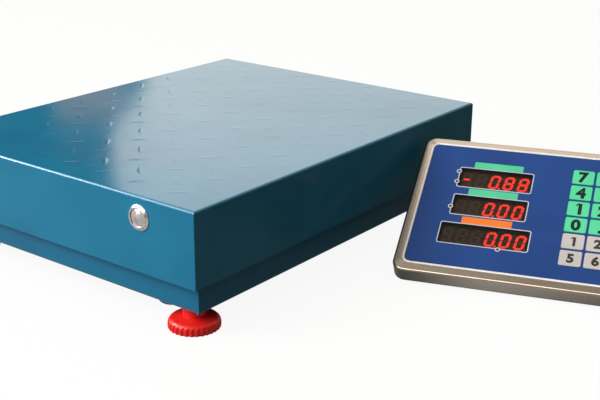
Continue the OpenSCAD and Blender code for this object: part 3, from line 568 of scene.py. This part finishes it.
# %% Finishes by slot
BUTTON_CENTRE = (-0.036721, -0.25, 0.1115)
finishes = {
    "cover_paint": enamel("cover_paint", srgb(20, 122, 160), srgb(16, 114, 152), 0.9, 0.0322),
    "frame_paint": enamel("frame_paint", srgb(16, 112, 150), srgb(12, 104, 142), 0.6, 0.0262),
    "spider_paint": enamel("spider_paint", srgb(30, 116, 152), srgb(26, 106, 142), 0.8),
    "zinc_steel": zinc_plate("zinc_steel"),
    "knob_plastic": moulded("knob_plastic", srgb(246, 34, 28), srgb(238, 28, 24), gloss=0.33, depth=0.000008),
    "black_rubber": moulded("black_rubber", srgb(26, 26, 27), srgb(40, 40, 41), gloss=0.7),
    "cell_alloy": milled_alloy("cell_alloy"),
    "bezel_steel": turned_steel("bezel_steel", BUTTON_CENTRE),
    "box_plastic": moulded("box_plastic", srgb(52, 54, 58), srgb(64, 66, 70), gloss=0.5),
    "board_laminate": laminate("board_laminate"),
    "battery_case": moulded("battery_case", srgb(40, 42, 46), srgb(52, 54, 58), gloss=0.4),
    "lead_sheath": moulded("lead_sheath", srgb(30, 30, 32), srgb(46, 46, 48), gloss=0.45),
    "case_steel": drawn_steel("case_steel", srgb(174, 163, 150), srgb(208, 204, 198), srgb(98, 101, 100)),
    "panel_film": printed_film("panel_film", srgb(24, 64, 132), srgb(28, 70, 140)),
    "key_green": printed_film("key_green", srgb(84, 214, 158), srgb(92, 222, 166)),
    "key_grey": printed_film("key_grey", srgb(196, 192, 190), srgb(206, 202, 200)),
    "smoked_window": smoked("smoked_window"),
    "display_face": moulded("display_face", srgb(58, 44, 30), srgb(72, 56, 40), gloss=0.5),
    "cell_pack": moulded("cell_pack", srgb(34, 86, 150), srgb(44, 98, 164), gloss=0.3),
}
for row in frame["record"]["subparts"]:
    mesh = frame["nodes"][row["node"]].data
    mesh.materials.clear()
    mesh.materials.append(finishes[row["material_slot"]])

# %% [markdown]
# ## Making pieces
# Every new piece starts as a bmesh. Flat shapes start as one face whose corners are rounded
# by a bevel, and an extrusion gives them their thickness. The last helper puts a finished
# shape where it belongs, turns its faces outwards and hands it to the body that carries it.


# %% Shape helpers
IN_PLACE = Matrix.Identity(4)


def rounded_face(shape, low, high, radius, level=0.0, segments=5):
    """A flat rounded rectangle between two corners; gives back its faces."""
    before = set(shape.faces)
    made = bmesh.ops.create_grid(shape, x_segments=1, y_segments=1, size=0.5)
    size = (high[0] - low[0], high[1] - low[1], 1)
    middle = ((low[0] + high[0]) / 2, (low[1] + high[1]) / 2, level)
    bmesh.ops.scale(shape, vec=size, verts=made["verts"])
    bmesh.ops.translate(shape, vec=middle, verts=made["verts"])
    bmesh.ops.bevel(
        shape, geom=made["verts"], offset=radius, segments=segments,
        profile=0.5, affect="VERTICES", material=-1,
    )
    return [face for face in shape.faces if face not in before]


def round_face(shape, centre, radius, level=0.0, segments=24):
    """A flat disc; gives back its face."""
    before = set(shape.faces)
    middle = Matrix.Translation((centre[0], centre[1], level))
    bmesh.ops.create_circle(
        shape, cap_ends=True, segments=segments, radius=radius, matrix=middle
    )
    return [face for face in shape.faces if face not in before]


def raise_faces(shape, faces, height):
    """Extrudes faces along Z and keeps the lower ones, so the shape is closed."""
    made = bmesh.ops.extrude_face_region(shape, geom=faces, use_keep_orig=True)
    tops = [item for item in made["geom"] if isinstance(item, bmesh.types.BMVert)]
    bmesh.ops.translate(shape, vec=(0, 0, height), verts=tops)
    return tops


def ring_of(shape, faces, width):
    """Cuts the middle out of a flat shape and gives back the faces of the ring that is left."""
    made = bmesh.ops.inset_region(
        shape, faces=faces, thickness=width, use_boundary=True, use_even_offset=True
    )
    bmesh.ops.delete(shape, geom=faces, context="FACES")
    return made["faces"]


def make_piece(name, shape, place, finish, body, smooth=False):
    """Makes a bmesh an object with its place in its mesh, riding on a body."""
    bmesh.ops.transform(shape, matrix=place, verts=shape.verts)
    bmesh.ops.recalc_face_normals(shape, faces=shape.faces)
    mesh = bpy.data.meshes.new(name)
    shape.to_mesh(mesh)
    shape.free()
    mesh.materials.append(finish)
    for face in mesh.polygons:
        face.use_smooth = smooth
    piece = bpy.data.objects.new(name, mesh)
    bpy.context.scene.collection.objects.link(piece)
    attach(piece, body)
    return piece


print("shape helpers ready")

# %% [markdown]
# ## The tread cover
# The lugs of a tread sheet are pressed, so each swells softly out of the flat.
# The CAD lugs have sharp sides, which the paint would show as hard lines. So a copy of
# the CAD cover is cut off flat at the deck, and soft lugs are set on it. They are as long
# as the CAD lugs but much lower, because only low ones gave reflections as soft as the photo's.

# %% Tread cover
DECK_TOP = 0.1325
LUG_LENGTH = 0.028
LUG_WIDTH = 0.0085
LUG_HEIGHT = 0.00014
LUG_PITCH = 0.05
LUG_ROW_SHIFT = -0.018
LUG_MARGIN = 0.016
PLATFORM_X = -0.166721
DECK_HALF_WIDTH = 0.2
DECK_HALF_LENGTH = 0.25
LUG_STEPS = (14, 10)
CUT_ABOVE = 0.00002


def flat_cover(shape):
    """A merged copy of the CAD cover, cut level with its deck and closed again."""
    shape.from_mesh(frame["nodes"]["top_cover"].data)
    bmesh.ops.remove_doubles(shape, verts=shape.verts, dist=1e-6)
    everything = shape.verts[:] + shape.edges[:] + shape.faces[:]
    level = (0, 0, DECK_TOP + CUT_ABOVE)
    bmesh.ops.bisect_plane(shape, geom=everything, plane_co=level, plane_no=(0, 0, 1), clear_outer=True)
    rims = [edge for edge in shape.edges if edge.is_boundary]
    bmesh.ops.holes_fill(shape, edges=rims, sides=0)


def lug_seed():
    """One soft lug as a mesh: a grid drawn to a pointed plan and swelled to a cosine."""
    shape = bmesh.new()
    bmesh.ops.create_grid(shape, x_segments=LUG_STEPS[0], y_segments=LUG_STEPS[1], size=1)
    for vert in shape.verts:
        along = vert.co.x
        across = vert.co.y
        half = LUG_WIDTH / 2 * (1 - along * along)
        swell = math.cos(across * math.pi / 2) ** 2 * math.cos(along * math.pi / 2)
        vert.co = (along * LUG_LENGTH / 2, across * half, LUG_HEIGHT * swell)
    bmesh.ops.remove_doubles(shape, verts=shape.verts, dist=1e-6)
    mesh = bpy.data.meshes.new("lug")
    shape.to_mesh(mesh)
    shape.free()
    return mesh


def lug_places():
    """The lugs of both directions, on two square grids half a pitch apart."""
    reach = math.ceil(DECK_HALF_LENGTH / LUG_PITCH) + 1
    for shift, angle in ((0, 45), (LUG_PITCH / 2, -45)):
        for column in range(-reach, reach + 1):
            for line in range(-reach, reach + 1):
                x = shift + column * LUG_PITCH
                y = shift + LUG_ROW_SHIFT + line * LUG_PITCH
                if abs(x) < DECK_HALF_WIDTH - LUG_MARGIN and abs(y) < DECK_HALF_LENGTH - LUG_MARGIN:
                    turn = Matrix.Rotation(math.radians(angle), 4, "Z")
                    yield Matrix.Translation((PLATFORM_X + x, y, DECK_TOP)) @ turn


def tread_lugs(seed):
    """Every lug, as copies of the one."""
    shape = bmesh.new()
    for place in lug_places():
        before = set(shape.verts)
        shape.from_mesh(seed)
        bmesh.ops.transform(shape, matrix=place, verts=[v for v in shape.verts if v not in before])
    return shape


cover_shape = bmesh.new()
flat_cover(cover_shape)
cover_skin = make_piece(
    "cover_sheet", cover_shape, IN_PLACE, finishes["cover_paint"], "cover"
)
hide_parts("top_cover")
lug_shape = tread_lugs(lug_seed())
tread = make_piece(
    "tread_lugs", lug_shape, IN_PLACE, finishes["cover_paint"], "cover", True
)
print("cover", len(cover_skin.data.polygons), "faces, lugs", len(tread.data.polygons), "faces")

# %% [markdown]
# ## Prints on the panel
# Bright outlines frame the three windows, coloured strips stand over them, and small
# lamps sit in tabs on the outlines. The words beside them are left out. They are ink or
# thin mouldings, a tenth of a millimetre high, so each gets real edges that catch light.

# %% Panel prints
PRINT_HEIGHT = 0.12
PANEL_WIDE = 270.4
PANEL_HIGH = 166.4
LIP_OUT = 2.6
LIP_WIDE = 2.5
LIP_LOW = -0.9
LIP_TOP = 0.6
LIP_ROUND = 0.8
LIP_CORNER = 9
SUNK = -0.05
WINDOWS = {"weight": (36.3, 109.0, 79), "price": (36.3, 69.9, 79), "total": (29.9, 30.1, 94)}
WINDOW_HIGH = 26.5
OUTLINE_GAP = 0.3
OUTLINE_WIDE = 1.1
OUTLINE_CORNER = 2.6
STRIPS = {"weight": (50, 136.6), "price": (50, 97.6), "total": (50, 58.0)}
STRIP_SIZE = (53.6, 9.0)
STRIP_CORNER = 0.6
LAMPS = ((34.6, 130.0), (34.6, 115.3), (34.6, 79.4), (94.2, 28.4))
LAMP_RADIUS = 2.8
LAMP_EYE = 1.65
LAMP_DOME = 0.22

finishes["outline_ink"] = printed_film("outline_ink", srgb(208, 210, 212), srgb(190, 194, 200))
finishes["strip_green"] = printed_film("strip_green", srgb(86, 208, 160), srgb(78, 198, 150))
finishes["strip_orange"] = printed_film("strip_orange", srgb(246, 132, 50), srgb(238, 122, 40))
finishes["lamp_lens"] = moulded("lamp_lens", srgb(40, 34, 40), srgb(58, 40, 44), gloss=0.15)


def window_outlines():
    """A raised line round each window, with a round tab for each lamp."""
    shape = bmesh.new()
    for left, low, wide in WINDOWS.values():
        reach = OUTLINE_GAP + OUTLINE_WIDE
        high = (left + wide + reach, low + WINDOW_HIGH + reach)
        faces = rounded_face(shape, (left - reach, low - reach), high, OUTLINE_CORNER, SUNK)
        raise_faces(shape, ring_of(shape, faces, OUTLINE_WIDE), PRINT_HEIGHT - SUNK)
    for centre in LAMPS:
        faces = round_face(shape, centre, LAMP_RADIUS, SUNK)
        raise_faces(shape, ring_of(shape, faces, LAMP_RADIUS - LAMP_EYE), 2 * PRINT_HEIGHT - SUNK)
    return shape


def lamp_eyes():
    """A small domed eye in each lamp's ring."""
    shape = bmesh.new()
    for centre in LAMPS:
        place = Matrix.Translation((*centre, SUNK)) @ Matrix.Diagonal((1, 1, LAMP_DOME, 1))
        bmesh.ops.create_uvsphere(
            shape, u_segments=16, v_segments=8, radius=LAMP_EYE, matrix=place
        )
    return shape


def strip_shape(name):
    """A plain coloured strip over a window."""
    shape = bmesh.new()
    left, low = STRIPS[name]
    high = (left + STRIP_SIZE[0], low + STRIP_SIZE[1])
    faces = rounded_face(shape, (left, low), high, STRIP_CORNER, SUNK)
    raise_faces(shape, faces, PRINT_HEIGHT - SUNK)
    return shape


def round_over(shape, level, radius, segments=3):
    """Rounds every edge that lies at a level, as far as the radius."""
    edges = [e for e in shape.edges if all(abs(vert.co.z - level) < 1e-5 for vert in e.verts)]
    bmesh.ops.bevel(
        shape, geom=edges, offset=radius, segments=segments,
        profile=0.5, affect="EDGES", material=-1,
    )


def panel_lip():
    """The rolled lip that holds the panel's edge all round; its near-white finish is partly a painted
    highlight.
    """
    shape = bmesh.new()
    low = (-LIP_OUT, -LIP_OUT)
    high = (PANEL_WIDE + LIP_OUT, PANEL_HIGH + LIP_OUT)
    faces = rounded_face(shape, low, high, LIP_CORNER, LIP_LOW, 8)
    raise_faces(shape, ring_of(shape, faces, LIP_WIDE), LIP_TOP - LIP_LOW)
    round_over(shape, LIP_TOP, LIP_ROUND)
    return shape


# The lip is steel finished near white and only partly metallic, so it shows as a bright line round the panel:
# partly a painted highlight.
LIP_HIGHLIGHT_COLOURS = (srgb(246, 245, 243), srgb(252, 251, 249), srgb(246, 245, 243))
finishes["lip_steel"] = drawn_steel("lip_steel", *LIP_HIGHLIGHT_COLOURS, metal=0.35, rough=0.3)
make_piece("panel_lip", panel_lip(), panel_place, finishes["lip_steel"], "indicator", True)
make_piece(
    "window_outlines", window_outlines(), panel_place, finishes["outline_ink"], "indicator"
)
make_piece("lamp_eyes", lamp_eyes(), panel_place, finishes["lamp_lens"], "indicator", True)
for name in STRIPS:
    ink = "strip_orange" if name == "total" else "strip_green"
    make_piece(f"{name}_strip", strip_shape(name), panel_place, finishes[ink], "indicator")
print("printed", len(STRIPS), "strips and", len(LAMPS), "lamps")

# %% [markdown]
# ## Digits behind the windows
# Each digit is seven pointed bars on the face of the display block, a little slanted.
# The bars that are off show faintly, so both kinds are real bars with their own finish.

# %% Digits
DIGIT_LEVEL = 17.6
DIGIT_PITCH = 15.5
DIGIT_HIGH = 19.5
DIGIT_WIDE = 10.9
BAR_WIDE = 2.8
BAR_GAP = 0.35
BAR_HEIGHT = 0.25
SLANT = math.tan(math.radians(8))
POINT_RADIUS = 1.2
POINT_PLACE = (DIGIT_WIDE / 2 + 1.6, 1.3 - DIGIT_HIGH / 2)
READING_SHIFT = -0.6
READINGS = {"weight": "- 0.88", "price": "  0.00", "total": "   0.00"}
BARS = {"0": "abcdef", "8": "abcdefg", "-": "g", " ": ""}


def glowing(name, colour, strength):
    """A lit bar: glowing red, a little uneven."""
    finish = Finish(name)
    grain = finish.noise(0.003, 2)
    return finish.surface(
        base_color=finish.mix(grain, colour, srgb(252, 58, 42)),
        roughness=0.5 + grain * 0.1,
        emission_color=finish.mix(grain, colour, srgb(255, 70, 50)),
        emission_strength=strength,
    )


def bar_places():
    """The seven bars of a digit by letter: centre, and whether the bar stands upright."""
    side = DIGIT_WIDE / 2 - BAR_WIDE / 2
    end = DIGIT_HIGH / 2 - BAR_WIDE / 2
    return {
        "a": (0, end, False), "g": (0, 0, False), "d": (0, -end, False),
        "f": (-side, end / 2, True), "b": (side, end / 2, True),
        "e": (-side, -end / 2, True), "c": (side, -end / 2, True),
    }


def add_bar(shape, x, y, upright):
    """One pointed bar: a hexagon whose halves are drawn apart, then raised."""
    span = (DIGIT_HIGH - BAR_WIDE) / 2 if upright else DIGIT_WIDE - BAR_WIDE
    radius = BAR_WIDE / math.sqrt(3)
    made = bmesh.ops.create_circle(shape, cap_ends=True, segments=6, radius=radius)
    verts = made["verts"]
    tips = Matrix.Rotation(math.pi / 6, 4, "Z")
    bmesh.ops.transform(shape, matrix=tips, verts=verts)
    if max(abs(vert.co.x) for vert in verts) < radius * 0.99:
        bmesh.ops.transform(shape, matrix=tips, verts=verts)
    stretch = span / 2 - BAR_GAP - radius
    for vert in verts:
        vert.co.x += math.copysign(stretch, vert.co.x)
    if upright:
        bmesh.ops.transform(shape, matrix=Matrix.Rotation(math.pi / 2, 4, "Z"), verts=verts)
    bmesh.ops.translate(shape, vec=(x, y, 0), verts=verts)
    raise_faces(shape, list({face for vert in verts for face in vert.link_faces}), BAR_HEIGHT)


def lean_over(shape, centre):
    """Slants a digit to the right about its middle and puts it in its window."""
    for vert in shape.verts:
        vert.co.x += SLANT * vert.co.y
    bmesh.ops.translate(shape, vec=(centre[0], centre[1], 0), verts=shape.verts)


def add_digit(lit, unlit, sign, centre, point):
    """A digit's bars, shared out between the lit and the unlit shape."""
    for letter, (x, y, upright) in bar_places().items():
        one = bmesh.new()
        add_bar(one, x, y, upright)
        lean_over(one, centre)
        merge(lit if letter in BARS[sign] else unlit, one)
    one = bmesh.new()
    raise_faces(one, round_face(one, POINT_PLACE, POINT_RADIUS, 0, 12), BAR_HEIGHT)
    lean_over(one, centre)
    merge(lit if point else unlit, one)


def merge(target, source):
    """Adds one bmesh to another and frees it."""
    mesh = bpy.data.meshes.new("passing")
    source.to_mesh(mesh)
    source.free()
    target.from_mesh(mesh)
    bpy.data.meshes.remove(mesh)


def reading_signs(text):
    """The signs of a reading, each with whether a point follows it."""
    signs = []
    for place, sign in enumerate(text):
        if sign != ".":
            signs.append((sign, text[place + 1:place + 2] == "."))
    return signs


lit_bars = bmesh.new()
unlit_bars = bmesh.new()
for name, text in READINGS.items():
    left, low, wide = WINDOWS[name]
    signs = reading_signs(text)
    for place, (sign, point) in enumerate(signs):
        x = left + wide / 2 + (place - (len(signs) - 1) / 2) * DIGIT_PITCH + READING_SHIFT
        add_digit(lit_bars, unlit_bars, sign, (x, low + WINDOW_HIGH / 2), point)
digit_place = case_place @ Matrix.Translation((BORDER, BORDER, DIGIT_LEVEL))
finishes["lit_bar"] = glowing("lit_bar", srgb(248, 24, 18), 1.7)
finishes["unlit_bar"] = moulded("unlit_bar", srgb(92, 72, 56), srgb(104, 82, 62), gloss=0.4)
make_piece("lit_bars", lit_bars, digit_place, finishes["lit_bar"], "indicator")
make_piece("unlit_bars", unlit_bars, digit_place, finishes["unlit_bar"], "indicator")
print("digits in", len(READINGS), "windows")

# %% [markdown]
# ## Signs on the keys
# The number keys carry plain numbers. The memory keys are numbered too, and the others
# carry simple signs of arithmetic. A text object gives the outline, which is made a thin mesh.

# %% Key signs
KEY_SIGNS = {
    "key_0": "0", "key_point": ".", "key_clear": "\u00d7", "key_total": "=", "key_add": "+",
    "key_tare": "\u2013", "key_zero_set": "\u00b7",
}
KEY_SIGNS.update({f"key_{number}": str(number) for number in range(1, 10)})
MEMORY_SIGNS = {f"key_memory_{number}": str(number) for number in range(1, 9)}
SIGN_SIZE = 19
MEMORY_SIGN_SIZE = 15
SIGN_WEIGHT = 0.05
SIGN_HEIGHT = 0.06
FLAG_LONG = 0.24
FLAG_WIDE = 0.09
FLAG_BACK = 0.05
FLAG_DOWN = 0.08
FLAG_TURN = math.radians(38)
POINT_DROP = 0.36
finishes["sign_ink"] = printed_film("sign_ink", srgb(12, 30, 26), srgb(20, 40, 34))
finishes["memory_ink"] = printed_film("memory_ink", srgb(52, 50, 50), srgb(66, 62, 62))


def sign_mesh(sign, size):
    """A sign as a thin mesh round its own middle, in millimetres."""
    curve = bpy.data.curves.new("sign", "FONT")
    curve.body = sign
    curve.size = size
    curve.offset = SIGN_WEIGHT * size
    curve.extrude = SIGN_HEIGHT
    curve.resolution_u = 4
    text = bpy.data.objects.new("sign", curve)
    bpy.context.scene.collection.objects.link(text)
    bpy.context.view_layer.update()
    mesh = bpy.data.meshes.new_from_object(text.evaluated_get(bpy.context.evaluated_depsgraph_get()))
    bpy.data.objects.remove(text)
    return mesh


def add_flag(shape, size):
    """The short slanted stroke at the top of a 1, which this typeface leaves out."""
    corner = max((vert.co for vert in shape.verts), key=lambda spot: spot.y - spot.x)
    middle = Matrix.Translation((corner.x - FLAG_BACK * size, corner.y - FLAG_DOWN * size, 0))
    form = Matrix.Diagonal((FLAG_LONG * size, FLAG_WIDE * size, 2 * SIGN_HEIGHT, 1))
    bmesh.ops.create_cube(shape, size=1, matrix=middle @ Matrix.Rotation(FLAG_TURN, 4, "Z") @ form)


def add_sign(key, sign, size, finish):
    """Sets a sign in the middle of its key's face."""
    shape = bmesh.new()
    shape.from_mesh(sign_mesh(sign, size))
    if sign == "1":
        add_flag(shape, size)
    xs = [vert.co.x for vert in shape.verts]
    ys = [vert.co.y for vert in shape.verts]
    shift_y = size * POINT_DROP if sign == "." else (min(ys) + max(ys)) / 2
    bmesh.ops.translate(shape, vec=(-(min(xs) + max(xs)) / 2, -shift_y, 0), verts=shape.verts)
    top = key_middle(key)
    make_piece(f"{key}_sign", shape, top, finishes[finish], key)


def key_middle(key):
    """The matrix that puts a flat shape in millimetres on the middle of a key's face."""
    mesh = frame["nodes"][key].data
    inward = case_place.inverted()
    spots = [inward @ vert.co for vert in mesh.vertices]
    top = max(spot.z for spot in spots)
    face = [spot for spot in spots if spot.z > top - 0.01]
    x = (min(spot.x for spot in face) + max(spot.x for spot in face)) / 2
    y = (min(spot.y for spot in face) + max(spot.y for spot in face)) / 2
    return case_place @ Matrix.Translation((x, y, top))


for key, sign in KEY_SIGNS.items():
    add_sign(key, sign, SIGN_SIZE, "sign_ink")
for key, sign in MEMORY_SIGNS.items():
    add_sign(key, sign, MEMORY_SIGN_SIZE, "memory_ink")
print("signs on", len(KEY_SIGNS) + len(MEMORY_SIGNS), "keys")

# %% [markdown]
# ## Screw threads
# A levelling stud is threaded rod. Its ridge is one small outline, spun about the stud's axis
# while it climbs by the pitch, round a rod of the root's width. Real thread of this size
# climbs 1.75 mm a turn.

# %% Threads
THREAD_PITCH = 0.00175
THREAD_DEPTH = 0.00107
THREAD_STEPS = 20
CORNERS = ("fl", "fr", "rl", "rr")
RIDGE_SINK = 0.0001
RIDGE_FOOT = 0.45
RIDGE_CREST = 0.06
BARE_TURNS = 1.5


def threaded_rod(low, high):
    """A rod of root width with a helical ridge, as tall and wide as a box."""
    shape = bmesh.new()
    outer = (high.x - low.x) / 2
    root = outer - THREAD_DEPTH
    centre = (low + high) / 2
    depth = high.z - low.z
    bmesh.ops.create_cone(
        shape, cap_ends=True, segments=24, radius1=root, radius2=root, depth=depth,
        matrix=Matrix.Translation(centre),
    )
    start = low + Vector((centre.x - low.x, centre.y - low.y, THREAD_PITCH / 2))
    foot = root - RIDGE_SINK
    rises = ((foot, -RIDGE_FOOT), (outer, -RIDGE_CREST), (outer, RIDGE_CREST), (foot, RIDGE_FOOT))
    outline = [shape.verts.new(start + Vector((r, 0, share * THREAD_PITCH))) for r, share in rises]
    edges = [shape.edges.new(pair) for pair in zip(outline, outline[1:] + outline[:1])]
    turns = depth / THREAD_PITCH - BARE_TURNS
    steps = round(turns * THREAD_STEPS)
    climb = (0, 0, THREAD_PITCH / THREAD_STEPS)
    made = bmesh.ops.spin(
        shape, geom=outline + edges, cent=centre, axis=(0, 0, 1), dvec=climb,
        angle=2 * math.pi * steps / THREAD_STEPS, steps=steps,
    )
    last = [item for item in made["geom_last"] if isinstance(item, bmesh.types.BMEdge)]
    bmesh.ops.holes_fill(shape, edges=edges + last, sides=0)
    return shape


for corner in CORNERS:
    node = f"foot_stud_{corner}"
    rod = threaded_rod(*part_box(node))
    zinc = finishes["zinc_steel"]
    piece = make_piece(f"thread_{corner}", rod, IN_PLACE, zinc, f"stud_{corner}")
    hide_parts(node)
print("threads on", len(CORNERS), "studs")

# %% [markdown]
# ## Weld beads
# The frame's rails meet in mitres and are welded from below. A bead is a row of small
# overlapping swells, as the molten pool freezes step by step along the seam.

# %% Weld beads
FRAME_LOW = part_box("base_frame")[0]
FRAME_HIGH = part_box("base_frame")[1]
FRAME_UNDER = 0.0255
MITRE_START = 0.003
MITRE_SPAN = 0.026
SWELL_STEP = 0.0016
SWELL_SIZE = (0.0013, 0.0021, 0.0008)


def weld_bead(shape, start, end):
    """A row of overlapping swells from one point to another."""
    count = max(2, round((end - start).length / SWELL_STEP))
    heading = math.atan2(end.y - start.y, end.x - start.x)
    turn = Matrix.Rotation(heading, 4, "Z") @ Matrix.Diagonal((*SWELL_SIZE, 1))
    for step in range(count + 1):
        place = Matrix.Translation(start.lerp(end, step / count)) @ turn
        bmesh.ops.create_uvsphere(shape, u_segments=10, v_segments=6, radius=1, matrix=place)


def mitre_beads():
    """One bead along each corner's mitre, under the rails."""
    shape = bmesh.new()
    for x, inward_x in ((FRAME_LOW.x, 1), (FRAME_HIGH.x, -1)):
        for y, inward_y in ((FRAME_LOW.y, 1), (FRAME_HIGH.y, -1)):
            outer = Vector((x + inward_x * MITRE_START, y + inward_y * MITRE_START, FRAME_UNDER))
            inner = Vector((x + inward_x * MITRE_SPAN, y + inward_y * MITRE_SPAN, FRAME_UNDER))
            weld_bead(shape, outer, inner)
    return shape


make_piece(
    "weld_beads", mitre_beads(), IN_PLACE, finishes["frame_paint"], "base", True
)
print("weld beads on 4 mitres")
